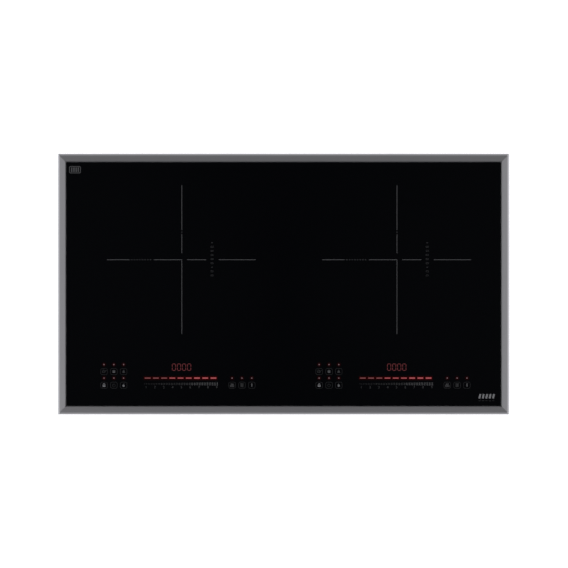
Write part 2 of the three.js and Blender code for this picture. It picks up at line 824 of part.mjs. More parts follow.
// Light box with a well for the digits and one for each bar of the power display.
function displayBlock() {
  const middle = lightBoxBack + lightBoxDepth / 2;
  const block = boxOn(lightBoxShift, middle, lightBoxBottom, [lightBoxWidth, lightBoxDepth, lightBoxHeight]);
  const wellBottom = lightBoxBottom + lightBoxHeight - lightWellDepth;
  const digits = boxOn(-panelShift, displayRow, wellBottom, [...displayWindow, lightBoxHeight]);
  const bars = Array.from({ length: barCount }, (_, i) => {
    const x = lightBoxShift + (i - (barCount - 1) / 2) * barPitch;
    return boxOn(x, barRow, wellBottom, [...barWindow, lightBoxHeight]);
  });
  return cut(block, digits, ...bars);
}

// ---------------------------------------------------------------- worktop clamps

// Screw from below the lower lug to above the upper one.
function clampScrew() {
  const headTop = lowerLugHeight - fitGap;
  const head = bar(0, 0, headTop - screwHeadHeight, headTop, screwHeadRadius, screwHeadSides);
  const end = upperLugHeight + lugThickness + screwEndPastLug;
  return join(head, bar(0, 0, headTop - overlapForCuts, end, clampScrewRadius, 10));
}

// Hub on the screw with a ribbed arm, which lies along the wall until it is swung out.
function swingClamp() {
  const bottom = lowerLugHeight + lugThickness + fitGap;
  const top = bottom + clampHubHeight;
  const hub = bar(0, 0, bottom, top, clampHubRadius, mediumSides / 2);
  const arm = box([-clampHubRadius, -clampArmLength, top - clampArmThickness], [clampHubRadius, 0, top]);
  const webOutline = new THREE.Shape([
    new THREE.Vector2(0, bottom),
    new THREE.Vector2(0, top - overlapForCuts),
    new THREE.Vector2(clampArmLength - overlapForCuts, top - overlapForCuts),
    new THREE.Vector2(clampArmLength - overlapForCuts, top - clampArmThickness),
  ]);
  const web = new THREE.ExtrudeGeometry(webOutline, { depth: clampRibThickness, bevelEnabled: false });
  web.applyMatrix4(new THREE.Matrix4().makeBasis(axisY, axisZ, axisX));
  web.rotateZ(Math.PI).translate(clampRibThickness / 2, 0, 0);
  const boreRadius = clampScrewRadius + clampBoreClearance;
  const bore = bar(0, 0, bottom - overlapForCuts, top + overlapForCuts, boreRadius);
  return cut(join(hub, arm, solidOf(web)), bore);
}

// ---------------------------------------------------------------- assembly

const cooktop = new THREE.Group();
addFrame(cooktop);
place(cooktop, "glass_plate", glassPlate(), blackGlass);
place(cooktop, "worktop_seal", worktopSeal(), foam);
place(cooktop, "base_tray", baseTray(), paintedSteel);
place(cooktop, "cable_gland", cableGland(), darkPlastic);
place(cooktop, "terminal_block", terminalBlock(), lightPlastic);
place(cooktop, "mains_filter_board", filterBoard(), boardGreen);

for (const { side, x } of zones) {
  const zone = new THREE.Group();
  zone.position.set(x, zoneRear, 0);
  cooktop.add(zone);
  place(zone, `mica_disc_${side}`, micaDisc(), mica);
  place(zone, `coil_winding_${side}`, coilWinding(), copper);
  place(zone, `coil_carrier_${side}`, coilCarrier(), heatPlastic);
  place(zone, `heat_sensor_${side}`, heatSensor(), siliconePad);
  place(zone, `sensor_spring_${side}`, sensorSpring(), zincSteel);
  place(zone, `coil_support_${side}`, coilSupport(), aluminium);
  springPoints.forEach(([px, py], i) => {
    const spring = coilSpring(px, py, springBottom, springTop, springRadius, springWireRadius, springTurns);
    place(zone, `coil_spring_${side}_${i + 1}`, spring, zincSteel);
  });
  place(zone, `fan_frame_${side}`, fanFrame(), darkPlastic);
  place(zone, `fan_rotor_${side}`, fanRotor(), darkPlastic).position.set(...fanCentre, 0);
  place(zone, `power_board_${side}`, powerBoard(), boardGreen);
  place(zone, `heat_sink_${side}`, heatSink(), aluminium);
  place(zone, `power_transistor_${side}`, sinkDevice(transistorAlongSink, transistorSize), darkPlastic);
  place(zone, `bridge_rectifier_${side}`, sinkDevice(rectifierAlongSink, rectifierSize), darkPlastic);
  place(zone, `resonance_capacitor_${side}`, resonanceCapacitor(), capacitorCase);
  place(zone, `smoothing_capacitor_${side}`, smoothingCapacitor(), capacitorCase);
  place(zone, `filter_choke_${side}`, filterChoke(), ferrite);
  const panel = new THREE.Group();
  panel.position.set(x + panelShift, panelFront, 0);
  cooktop.add(panel);
  place(panel, `control_tray_${side}`, controlTray(), darkPlastic);
  place(panel, `control_board_${side}`, controlBoard(), boardGreen);
  place(panel, `display_block_${side}`, displayBlock(), lightPlastic);
}

for (const clamp of clamps) {
  const post = new THREE.Group();
  post.position.set(clamp.x * (trayHalfWidth + clampAxisOut), clamp.y * clampRow, 0);
  cooktop.add(post);
  place(post, `clamp_screw_${clamp.name}`, clampScrew(), zincSteel);
  place(post, `swing_clamp_${clamp.name}`, swingClamp(), zincSteel);
}

export default cooktop;
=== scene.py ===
# %% [markdown]
# # A built-in induction cooktop
#
# The cooktop is a sheet of black glass in a mitred metal frame, with a steel tray hanging under it that
# holds two alike cooking modules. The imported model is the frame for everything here: each new piece takes
# its place from the box of the part that it stands for, so nothing needs to be fitted by eye.
#
# Lengths are written in millimetres, which suit a part of this size, and are turned to metres when a mesh
# is made.

import math
import random

import bmesh
import bpy
from mathutils import Matrix, Vector


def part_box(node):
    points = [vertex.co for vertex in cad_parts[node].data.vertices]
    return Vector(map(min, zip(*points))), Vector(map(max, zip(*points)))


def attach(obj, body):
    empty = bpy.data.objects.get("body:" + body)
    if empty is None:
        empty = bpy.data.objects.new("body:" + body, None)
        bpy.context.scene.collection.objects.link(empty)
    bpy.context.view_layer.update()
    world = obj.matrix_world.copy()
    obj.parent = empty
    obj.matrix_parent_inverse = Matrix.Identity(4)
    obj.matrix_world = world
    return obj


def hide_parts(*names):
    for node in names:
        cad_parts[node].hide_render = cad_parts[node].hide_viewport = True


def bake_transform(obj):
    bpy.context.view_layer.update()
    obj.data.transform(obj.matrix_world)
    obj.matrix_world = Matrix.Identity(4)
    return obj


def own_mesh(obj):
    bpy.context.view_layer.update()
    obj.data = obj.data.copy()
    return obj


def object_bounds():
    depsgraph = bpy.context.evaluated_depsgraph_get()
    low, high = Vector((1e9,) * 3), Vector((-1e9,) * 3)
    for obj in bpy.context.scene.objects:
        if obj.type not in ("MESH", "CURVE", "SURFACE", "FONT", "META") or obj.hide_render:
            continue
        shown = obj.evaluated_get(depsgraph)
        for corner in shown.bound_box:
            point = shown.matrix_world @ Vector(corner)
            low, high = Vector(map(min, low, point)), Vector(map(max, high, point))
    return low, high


MM = 0.001
SIDES = ("left", "right")
CORNERS = ("front_left", "front_right", "rear_left", "rear_right")

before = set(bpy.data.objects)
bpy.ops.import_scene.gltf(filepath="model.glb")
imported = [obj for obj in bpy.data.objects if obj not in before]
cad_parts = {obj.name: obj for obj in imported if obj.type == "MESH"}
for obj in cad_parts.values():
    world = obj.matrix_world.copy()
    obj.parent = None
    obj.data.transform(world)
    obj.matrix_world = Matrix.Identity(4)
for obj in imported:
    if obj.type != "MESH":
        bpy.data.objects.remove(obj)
cad_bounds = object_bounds()


def span(node):
    """The lowest and highest corner of a part, in millimetres."""
    low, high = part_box(node)
    return low / MM, high / MM


def middle(node):
    """The centre of a part's box, in millimetres."""
    low, high = span(node)
    return (low + high) / 2


zone = {side: middle(f"coil_winding_{side}") for side in SIDES}
glass_top = span("glass_plate")[1].z
print("overall size in mm:", [round((b - a) / MM, 1) for a, b in zip(*cad_bounds)])
print("zone centres:", {side: tuple(round(v, 1) for v in zone[side]) for side in SIDES})

# %% [markdown]
# ## The floor, the camera and the light
#
# The cooktop is looked at from straight above with a long lens, so its sides don't show and its outline
# stays square. Polished black glass is a mirror: it shows whatever is straight overhead. The studio is
# therefore bright all round and dark at the top, and the glass stays black while the sloped frame around it
# catches the light. The room is a little brighter to the left and right than in front and behind, which
# tells the four rails apart.
#
# The floor is pale and glows a little, so the underside isn't lost in shadow. It only has an upper side:
# seen from below it is clear, and the cooktop can be looked at from there too.

# %% Floor and camera
def show(name, data):
    """Puts new data in the scene as an object."""
    thing = bpy.data.objects.new(name, data)
    bpy.context.scene.collection.objects.link(thing)
    return thing


floor_mesh = bmesh.new()
bmesh.ops.create_circle(floor_mesh, cap_ends=True, radius=9, segments=64)
floor_data = bpy.data.meshes.new("studio_floor")
floor_mesh.to_mesh(floor_data)
floor_mesh.free()
floor = show("studio_floor", floor_data)
floor.location.z = -0.0005

VIEW_WIDTH = 0.916
LENS = 150
lens_distance = VIEW_WIDTH * LENS / 36
camera = show("overhead_camera", bpy.data.cameras.new("overhead_camera"))
camera.data.lens = LENS
camera.location = (0.0007, 0.0001, 0.0745 + lens_distance)
bpy.context.scene.camera = camera
print("camera height in m:", round(camera.location.z, 3))

# %% Studio light
def node_of(tree, kind, **settings):
    """Adds a shader node and sets its properties."""
    node = tree.nodes.new(kind)
    for name, value in settings.items():
        setattr(node, name, value)
    return node


def calculate(tree, operation, first, second=None, clamp=False):
    """A Math node. Each side is a number or a socket."""
    node = node_of(tree, "ShaderNodeMath", operation=operation, use_clamp=clamp)
    for socket, value in zip(node.inputs, (first, second)):
        if isinstance(value, bpy.types.NodeSocket):
            tree.links.new(value, socket)
        elif value is not None:
            socket.default_value = value
    return node.outputs[0]


def ramp(tree, value, stops):
    """A Color Ramp from (position, grey or colour) stops."""
    node = node_of(tree, "ShaderNodeValToRGB")
    band = node.color_ramp
    while len(band.elements) < len(stops):
        band.elements.new(0.5)
    for element, (position, shade) in zip(band.elements, stops):
        element.position = position
        element.color = (*((shade,) * 3 if isinstance(shade, (int, float)) else shade), 1)
    tree.links.new(value, node.inputs["Fac"])
    return node.outputs["Color"]


world = bpy.data.worlds.new("studio")
bpy.context.scene.world = world
world.use_nodes = True
studio = world.node_tree
studio.nodes.clear()
direction = node_of(studio, "ShaderNodeSeparateXYZ")
studio.links.new(node_of(studio, "ShaderNodeTexCoord").outputs["Generated"], direction.inputs[0])
LIGHT_BY_HEIGHT = [(0, 1.9), (0.2, 1.2), (0.5, 0.75), (0.68, 0.58), (0.84, 0.285), (0.94, 0.036), (1, 0.016)]
height_light = ramp(studio, direction.outputs["Z"], LIGHT_BY_HEIGHT)
x_squared = calculate(studio, "MULTIPLY", direction.outputs["X"], direction.outputs["X"])
y_squared = calculate(studio, "MULTIPLY", direction.outputs["Y"], direction.outputs["Y"])
both = calculate(studio, "ADD", calculate(studio, "ADD", x_squared, y_squared), 1e-4)
sideways = calculate(studio, "DIVIDE", x_squared, both)
side_gain = calculate(studio, "ADD", calculate(studio, "MULTIPLY", sideways, 0.7), 0.72)
surround = node_of(studio, "ShaderNodeBackground")
studio.links.new(height_light, surround.inputs["Color"])
studio.links.new(side_gain, surround.inputs["Strength"])
studio.links.new(surround.outputs[0], node_of(studio, "ShaderNodeOutputWorld").inputs["Surface"])

key_light = show("key_light", bpy.data.lights.new("key_light", "AREA"))
key_light.data.shape = "DISK"
key_light.data.size = 1.6
key_light.data.energy = 6
key_light.location = (-1.7, -1.5, 1.5)
key_light.rotation_euler = (-key_light.location).to_track_quat("-Z", "Y").to_euler()
bpy.context.scene.view_settings.view_transform = "Standard"

floor_finish = bpy.data.materials.new("studio_floor")
floor_finish.use_nodes = True
floor_shader = floor_finish.node_tree.nodes["Principled BSDF"]
floor_shader.inputs["Base Color"].default_value = (0.9, 0.9, 0.9, 1)
floor_shader.inputs["Roughness"].default_value = 0.8
floor_shader.inputs["Emission Color"].default_value = (1, 1, 1, 1)
floor_shader.inputs["Emission Strength"].default_value = 1.1
floor_tree = floor_finish.node_tree
one_sided = node_of(floor_tree, "ShaderNodeMixShader")
floor_tree.links.new(node_of(floor_tree, "ShaderNodeNewGeometry").outputs["Backfacing"], one_sided.inputs[0])
floor_tree.links.new(floor_shader.outputs[0], one_sided.inputs[1])
floor_tree.links.new(node_of(floor_tree, "ShaderNodeBsdfTransparent").outputs[0], one_sided.inputs[2])
floor_tree.links.new(one_sided.outputs[0], floor_tree.nodes["Material Output"].inputs["Surface"])
floor_data.materials.append(floor_finish)

# %% [markdown]
# ## Finishes
#
# Hardly any surface in the object is one flat colour. A few effects come back in many of them, so each is a
# node group with its own inputs: grain, which breaks up the roughness and gives a fine relief; blotches,
# which shift the colour a little from place to place; and worn edges, which show where a coating is rubbed
# thin. All of them read Object coordinates, so a finish stays put on its piece when a joint moves.

# %% Node groups for grain, blotches and worn edges
def new_group(name, inputs, outputs):
    """A shader node group with named sockets. Returns it with its input and output nodes."""
    group = bpy.data.node_groups.new(name, "ShaderNodeTree")
    for label, kind, value in inputs:
        group.interface.new_socket(label, in_out="INPUT", socket_type=kind).default_value = value
    for label, kind in outputs:
        group.interface.new_socket(label, in_out="OUTPUT", socket_type=kind)
    return group, group.nodes.new("NodeGroupInput"), group.nodes.new("NodeGroupOutput")


def object_noise(group, inlet, detail):
    """Noise on stretched Object coordinates, driven by the group's Stretch and Scale inputs."""
    stretched = node_of(group, "ShaderNodeVectorMath", operation="MULTIPLY")
    group.links.new(node_of(group, "ShaderNodeTexCoord").outputs["Object"], stretched.inputs[0])
    group.links.new(inlet.outputs["Stretch"], stretched.inputs[1])
    noise = node_of(group, "ShaderNodeTexNoise")
    noise.inputs["Detail"].default_value = detail
    group.links.new(stretched.outputs[0], noise.inputs["Vector"])
    group.links.new(inlet.outputs["Scale"], noise.inputs["Scale"])
    return noise.outputs["Fac"]


grain_group, inlet, outlet = new_group(
    "grain",
    [
        ("Scale", "NodeSocketFloat", 900.0),
        ("Stretch", "NodeSocketVector", (1, 1, 1)),
        ("Smoothest", "NodeSocketFloat", 0.3),
        ("Roughest", "NodeSocketFloat", 0.5),
    ],
    [("Roughness", "NodeSocketFloat"), ("Height", "NodeSocketFloat")],
)
grain_value = object_noise(grain_group, inlet, 4)
between = node_of(grain_group, "ShaderNodeMapRange")
grain_group.links.new(grain_value, between.inputs["Value"])
between.inputs["From Min"].default_value = 0.3
between.inputs["From Max"].default_value = 0.7
grain_group.links.new(inlet.outputs["Smoothest"], between.inputs["To Min"])
grain_group.links.new(inlet.outputs["Roughest"], between.inputs["To Max"])
grain_group.links.new(between.outputs[0], outlet.inputs["Roughness"])
grain_group.links.new(grain_value, outlet.inputs["Height"])

blotch_group, inlet, outlet = new_group(
    "blotches",
    [
        ("Scale", "NodeSocketFloat", 30.0),
        ("Stretch", "NodeSocketVector", (1, 1, 1)),
        ("First", "NodeSocketColor", (0.5, 0.5, 0.5, 1)),
        ("Second", "NodeSocketColor", (0.4, 0.4, 0.4, 1)),
    ],
    [("Color", "NodeSocketColor")],
)
shift = node_of(blotch_group, "ShaderNodeMix", data_type="RGBA")
blotch_group.links.new(object_noise(blotch_group, inlet, 3), shift.inputs["Factor"])
blotch_group.links.new(inlet.outputs["First"], shift.inputs[6])
blotch_group.links.new(inlet.outputs["Second"], shift.inputs[7])
blotch_group.links.new(shift.outputs[2], outlet.inputs["Color"])

wear_group, inlet, outlet = new_group(
    "worn edges",
    [("Radius", "NodeSocketFloat", 0.0006), ("Amount", "NodeSocketFloat", 0.6)],
    [("Mask", "NodeSocketFloat")],
)
soft_normal = node_of(wear_group, "ShaderNodeBevel", samples=4)
wear_group.links.new(inlet.outputs["Radius"], soft_normal.inputs["Radius"])
agreement = node_of(wear_group, "ShaderNodeVectorMath", operation="DOT_PRODUCT")
wear_group.links.new(soft_normal.outputs[0], agreement.inputs[0])
wear_group.links.new(node_of(wear_group, "ShaderNodeNewGeometry").outputs["Normal"], agreement.inputs[1])
turned = calculate(wear_group, "SUBTRACT", 1.0, agreement.outputs["Value"])
bent = calculate(wear_group, "MULTIPLY", turned, 4.0)
patches = node_of(wear_group, "ShaderNodeTexNoise")
patches.inputs["Scale"].default_value = 240
wear_group.links.new(node_of(wear_group, "ShaderNodeTexCoord").outputs["Object"], patches.inputs["Vector"])
rubbed = calculate(wear_group, "MULTIPLY", bent, patches.outputs["Fac"])
wear_group.links.new(
    calculate(wear_group, "MULTIPLY", rubbed, inlet.outputs["Amount"], clamp=True), outlet.inputs["Mask"]
)


# %% [markdown]
# One maker then builds most of the materials. Constant numbers go on the shader's own sockets, and only
# what varies over the surface comes in through a group.

# %% A maker for finishes
def finish(
    name,
    colour,
    second,
    rough,
    metallic=0.0,
    grain=(900, (1, 1, 1)),
    blotches=(30, (1, 1, 1)),
    relief=0.02,
    worn=None,
):
    """A material from two close colours, a roughness range, and the scale and stretch of its grain."""
    material = bpy.data.materials.new(name)
    material.use_nodes = True
    tree = material.node_tree
    shader = tree.nodes["Principled BSDF"]
    shader.inputs["Metallic"].default_value = metallic
    texture = node_of(tree, "ShaderNodeGroup", node_tree=grain_group)
    texture.inputs["Scale"].default_value = grain[0]
    texture.inputs["Stretch"].default_value = grain[1]
    texture.inputs["Smoothest"].default_value = rough[0]
    texture.inputs["Roughest"].default_value = rough[1]
    tree.links.new(texture.outputs["Roughness"], shader.inputs["Roughness"])
    tint = node_of(tree, "ShaderNodeGroup", node_tree=blotch_group)
    tint.inputs["Scale"].default_value = blotches[0]
    tint.inputs["Stretch"].default_value = blotches[1]
    tint.inputs["First"].default_value = (*colour, 1)
    tint.inputs["Second"].default_value = (*second, 1)
    paint = tint.outputs["Color"]
    if worn:
        rub = node_of(tree, "ShaderNodeGroup", node_tree=wear_group)
        rub.inputs["Amount"].default_value = worn[1]
        mix = node_of(tree, "ShaderNodeMix", data_type="RGBA")
        tree.links.new(rub.outputs["Mask"], mix.inputs["Factor"])
        tree.links.new(paint, mix.inputs[6])
        mix.inputs[7].default_value = (*worn[0], 1)
        paint = mix.outputs[2]
    tree.links.new(paint, shader.inputs["Base Color"])
    bump = node_of(tree, "ShaderNodeBump")
    bump.inputs["Strength"].default_value = 0.5
    bump.inputs["Distance"].default_value = relief * MM
    tree.links.new(texture.outputs["Height"], bump.inputs["Height"])
    tree.links.new(bump.outputs["Normal"], shader.inputs["Normal"])
    return material


# %% The object's finishes
frame_metal = {
    axis: finish(
        f"satin_frame_along_{axis}",
        (0.465, 0.462, 0.487),
        (0.45, 0.447, 0.472),
        (0.28, 0.3),
        metallic=1,
        grain=(700, (0.03, 1, 1) if axis == "x" else (1, 0.03, 1)),
        blotches=(60, (0.2, 1, 1) if axis == "x" else (1, 0.2, 1)),
        relief=0.001,
    )
    for axis in "xy"
}
powder_coat = finish(
    "black_powder_coat", (0.012, 0.012, 0.013), (0.019, 0.019, 0.02), (0.34, 0.56),
    grain=(900, (1, 1, 1)), relief=0.12, worn=((0.14, 0.14, 0.145), 0.6),
)
foam = finish(
    "closed_cell_foam", (0.018, 0.018, 0.019), (0.03, 0.03, 0.031), (0.8, 0.95),
    grain=(2600, (1, 1, 1)), relief=0.25,
)
black_moulding = finish(
    "black_moulding", (0.016, 0.016, 0.017), (0.022, 0.022, 0.023), (0.42, 0.55),
    grain=(2200, (1, 1, 1)), relief=0.03, worn=((0.07, 0.07, 0.07), 0.3),
)
brown_moulding = finish(
    "heatproof_moulding", (0.075, 0.05, 0.036), (0.1, 0.07, 0.05), (0.5, 0.66),
    grain=(1300, (1, 1, 1)), relief=0.05,
)
white_moulding = finish(
    "white_moulding", (0.68, 0.68, 0.64), (0.6, 0.6, 0.55), (0.38, 0.5),
    grain=(1600, (1, 1, 1)), relief=0.02,
)
bright_zinc = finish(
    "bright_zinc", (0.6, 0.61, 0.63), (0.5, 0.52, 0.53), (0.24, 0.4), metallic=1,
    grain=(500, (1, 1, 1)), blotches=(140, (1, 1, 1)), relief=0.02, worn=((0.7, 0.7, 0.7), 0.3),
)
spring_wire = finish(
    "spring_wire", (0.42, 0.42, 0.43), (0.3, 0.3, 0.31), (0.22, 0.38), metallic=1,
    grain=(900, (1, 1, 1)), relief=0.01,
)
mill_aluminium = finish(
    "mill_aluminium", (0.62, 0.63, 0.65), (0.52, 0.53, 0.55), (0.3, 0.46), metallic=1,
    grain=(420, (0.05, 1, 1)), blotches=(40, (0.2, 1, 1)), relief=0.02,
)
varnished_copper = finish(
    "varnished_copper", (0.52, 0.2, 0.09), (0.34, 0.12, 0.05), (0.26, 0.42), metallic=0.85,
    grain=(1800, (1, 1, 1)), blotches=(900, (1, 1, 1)), relief=0.12,
)
pressed_mica = finish(
    "pressed_mica", (0.5, 0.43, 0.3), (0.72, 0.67, 0.54), (0.35, 0.6),
    grain=(260, (1, 1, 1)), blotches=(220, (1, 1, 1)), relief=0.08,
)
silicone = finish(
    "white_silicone", (0.76, 0.75, 0.7), (0.68, 0.67, 0.62), (0.5, 0.62),
    grain=(800, (1, 1, 1)), relief=0.02,
)
epoxy = finish(
    "device_epoxy", (0.012, 0.012, 0.012), (0.02, 0.02, 0.02), (0.34, 0.5),
    grain=(1900, (1, 1, 1)), relief=0.03,
)
capacitor_box = finish(
    "capacitor_case", (0.3, 0.045, 0.025), (0.24, 0.035, 0.02), (0.26, 0.4),
    grain=(1200, (1, 1, 1)), relief=0.015,
)
ferrite = finish(
    "sintered_ferrite", (0.035, 0.035, 0.037), (0.05, 0.05, 0.052), (0.5, 0.7),
    grain=(1500, (1, 1, 1)), relief=0.04,
)
wire_sleeve = finish(
    "woven_sleeve", (0.6, 0.58, 0.5), (0.42, 0.4, 0.34), (0.6, 0.8),
    grain=(2400, (1, 1, 1)), blotches=(1600, (1, 1, 1)), relief=0.12,
)
ribbon_grey = finish(
    "flat_cable", (0.3, 0.3, 0.31), (0.16, 0.16, 0.17), (0.4, 0.5),
    grain=(1100, (1, 0.02, 0.02)), blotches=(1100, (1, 0.01, 0.01)), relief=0.1,
)
print("finishes so far:", len(bpy.data.materials))

# %% [markdown]
# The glass is almost black all through and polished. What breaks up a real one is not colour but faint
# smears, so only its roughness varies, and very little. The printed marks are a grey ceramic ink, in a few
# strengths. The lights are red diodes behind the glass, which dims them to a soft pinkish red with a faint
# glow around them.

# %% Glass, inks and lights
glass_black = finish(
    "black_glass", (0.0012, 0.0015, 0.0023), (0.0015, 0.0018, 0.0027), (0.035, 0.055),
    grain=(14, (1, 1, 1)), blotches=(6, (1, 1, 1)), relief=0.0,
)
glass_black.node_tree.nodes["Principled BSDF"].inputs["IOR"].default_value = 1.52


def ink(name, grey):
    """Ceramic print of one strength. A low specular level keeps it as matt as fired ink is."""
    cool = (grey, grey * 1.01, grey * 1.07)
    thin = tuple(0.85 * c for c in cool)
    material = finish(name, cool, thin, (0.5, 0.65), blotches=(1400, (1, 1, 1)), relief=0.004)
    material.node_tree.nodes["Principled BSDF"].inputs["Specular IOR Level"].default_value = 0.08
    return material


def diode_light(name, colour, strength):
    """A light seen through the glass, a little uneven over its face."""
    material = finish(name, (0.004, 0.001, 0.001), (0.003, 0.001, 0.001), (0.3, 0.4), relief=0.002)
    tree = material.node_tree
    shader = tree.nodes["Principled BSDF"]
    shader.inputs["Specular IOR Level"].default_value = 0.1
    shader.inputs["Emission Strength"].default_value = strength
    glow = node_of(tree, "ShaderNodeGroup", node_tree=blotch_group)
    glow.inputs["Scale"].default_value = 600
    glow.inputs["First"].default_value = (*colour, 1)
    glow.inputs["Second"].default_value = (*(0.8 * c for c in colour), 1)
    tree.links.new(glow.outputs["Color"], shader.inputs["Emission Color"])
    return material


ink_pale = ink("ink_pale", 0.245)
ink_cross = ink("ink_cross", 0.112)
ink_key = ink("ink_key", 0.057)
ink_dim = ink("ink_dim", 0.042)
ink_faint = ink("ink_faint", 0.026)
light_bar = diode_light("diode_bar", (0.41, 0.1, 0.11), 1.0)
light_bar_low = diode_light("diode_bar_low", (0.27, 0.11, 0.115), 1.0)
light_edge = diode_light("diode_edge", (0.09, 0.0, 0.002), 1.0)
light_digit = diode_light("diode_digit", (0.165, 0.041, 0.048), 1.0)
light_dot = diode_light("diode_dot", (0.2, 0.125, 0.14), 1.0)
light_halo = diode_light("diode_halo", (0.007, 0.0, 0.0002), 1.0)

# %% [markdown]
# A circuit board is a green solder mask over copper tracks. The tracks show through as slightly lighter
# lines, so the mask's colour and relief come from the cell borders of a square Voronoi pattern, which run
# in straight steps as tracks do.

# %% Circuit board
board_green = bpy.data.materials.new("solder_mask")
board_green.use_nodes = True
mask_tree = board_green.node_tree
mask_shader = mask_tree.nodes["Principled BSDF"]
mask_shader.inputs["Roughness"].default_value = 0.32
tracks = node_of(mask_tree, "ShaderNodeTexVoronoi", feature="F1", distance="CHEBYCHEV")
tracks.inputs["Scale"].default_value = 260
mask_tree.links.new(node_of(mask_tree, "ShaderNodeTexCoord").outputs["Object"], tracks.inputs["Vector"])
track_colour = ramp(
    mask_tree,
    tracks.outputs["Distance"],
    [
        (0.0, (0.5, 0.38, 0.12)), (0.1, (0.014, 0.085, 0.03)),
        (0.55, (0.012, 0.07, 0.025)), (0.62, (0.03, 0.15, 0.055)),
    ],
)
mask_tree.links.new(track_colour, mask_shader.inputs["Base Color"])
raised = node_of(mask_tree, "ShaderNodeBump")
raised.inputs["Strength"].default_value = 0.4
raised.inputs["Distance"].default_value = 0.04 * MM
mask_tree.links.new(tracks.outputs["Distance"], raised.inputs["Height"])
mask_tree.links.new(raised.outputs["Normal"], mask_shader.inputs["Normal"])

# %% [markdown]
# ## Tools for modelling
#
# Every piece starts as a bmesh in millimetres. `make_piece` turns one into a finished object: it merges
# doubles, turns the faces outwards, scales to metres, marks the sharp edges, gives it its material, hangs it
# on the body it rides on and hides the plain part it stands for. A Weighted Normal modifier lets the large
# faces keep their flat shading, so that only the bevels between them look round.

# %% From bmesh to finished piece
def make_piece(name, bm, material, body, replaces=(), sharp=32, merge=True):
    """A finished piece at the origin, with its place in its mesh."""
    if merge:
        bmesh.ops.remove_doubles(bm, verts=bm.verts, dist=0.0005)
    bmesh.ops.recalc_face_normals(bm, faces=bm.faces)
    bmesh.ops.scale(bm, vec=(MM, MM, MM), verts=bm.verts)
    mesh = bpy.data.meshes.new(name)
    bm.to_mesh(mesh)
    bm.free()
    mesh.shade_smooth()
    mesh.set_sharp_from_angle(angle=math.radians(sharp))
    mesh.materials.append(material)
    piece = show(name, mesh)
    weights = piece.modifiers.new("face weights", "WEIGHTED_NORMAL")
    weights.keep_sharp = True
    if body:
        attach(piece, body)
    if replaces:
        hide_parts(*replaces)
    return piece


# %% Boxes, turned shapes and rings
def bevel_edges(bm, edges, size, segments=3):
    bmesh.ops.bevel(
        bm, geom=list(edges), offset=size, offset_type="OFFSET", affect="EDGES",
        segments=segments, profile=0.5, material=-1, clamp_overlap=True,
    )


def along(edge, axis):
    """True if the edge runs along that axis."""
    step = (edge.verts[0].co - edge.verts[1].co).normalized()
    return abs(step[axis]) > 0.999


def block(bm, low, high):
    """A box between two corners. Returns its vertices."""
    low, high = Vector(low), Vector(high)
    place = Matrix.Translation((low + high) / 2) @ Matrix.Diagonal((*(high - low), 1))
    return bmesh.ops.create_cube(bm, size=1, matrix=place)["verts"]


def rounded_block(low, high, size, segments=3, upright=0.0):
    """A box with softened edges, and larger upright corners if asked."""
    bm = bmesh.new()
    block(bm, low, high)
    if upright:
        bevel_edges(bm, [e for e in bm.edges if along(e, 2)], upright, 6)
        flat = [f for f in bm.faces if abs(f.normal.z) > 0.9]
        bevel_edges(bm, {e for f in flat for e in f.edges}, size, segments)
    else:
        bevel_edges(bm, bm.edges, size, segments)
    return bm


def turn(profile, centre, steps=48):
    """A closed shape from a half profile of (radius, height) points, spun about an upright axis."""
    bm = bmesh.new()
    points = [bm.verts.new((r, 0, z)) for r, z in profile]
    ring = [bm.edges.new((a, b)) for a, b in zip(points, points[1:] + points[:1])]
    bmesh.ops.spin(
        bm, geom=points + ring, cent=(0, 0, 0), axis=(0, 0, 1), angle=math.tau, steps=steps, use_merge=True
    )
    bmesh.ops.remove_doubles(bm, verts=bm.verts, dist=0.0005)
    bmesh.ops.delete(bm, geom=[e for e in bm.edges if e.is_wire], context="EDGES")
    bmesh.ops.translate(bm, vec=centre, verts=bm.verts)
    return bm


def joined(*parts):
    """Several bmeshes as one, each keeping its own shell."""
    whole = bmesh.new()
    for part in parts:
        bmesh.ops.recalc_face_normals(part, faces=part.faces)
        copy = bpy.data.meshes.new("copy")
        part.to_mesh(copy)
        part.free()
        whole.from_mesh(copy)
        bpy.data.meshes.remove(copy)
    return whole


# %% [markdown]
# Holes and slots are cut with a Boolean modifier. The exact solver copes with flat faces that meet, and
# applying the result at once gives an ordinary mesh that can still be bevelled.

# %% Boolean cuts
def combined(body, tool, operation="DIFFERENCE"):
    """body with tool taken out of it, or joined to it, as a new bmesh."""
    things = []
    for part in (body, tool):
        bmesh.ops.recalc_face_normals(part, faces=part.faces)
        mesh = bpy.data.meshes.new("workpiece")
        part.to_mesh(mesh)
        part.free()
        things.append(show("workpiece", mesh))
    cut = things[0].modifiers.new("cut", "BOOLEAN")
    cut.object = things[1]
    cut.operation = operation
    cut.solver = "EXACT"
    result = bmesh.new()
    result.from_object(things[0], bpy.context.evaluated_depsgraph_get())
    for thing in things:
        bpy.data.meshes.remove(thing.data)
    return result


def soften(bm, angle, size, segments=2):
    """Bevels every edge that is sharper than an angle."""
    sharp = [e for e in bm.edges if e.is_manifold and e.calc_face_angle(0) > math.radians(angle)]
    bevel_edges(bm, sharp, size, segments)
    return bm


# %% [markdown]
# ## The metal frame
#
# Each rail is an extrusion: a rounded outer lip, a slope up to the glass, a step down, and a ledge under
# the glass. The four are sawn at 45 degrees where they meet. A few profile points are enough to start from;
# the long edges are then rounded with a bevel, and the ends are sawn with bisect planes. The cut stops just
# short of the corner, so the joint shows as a fine dark line.

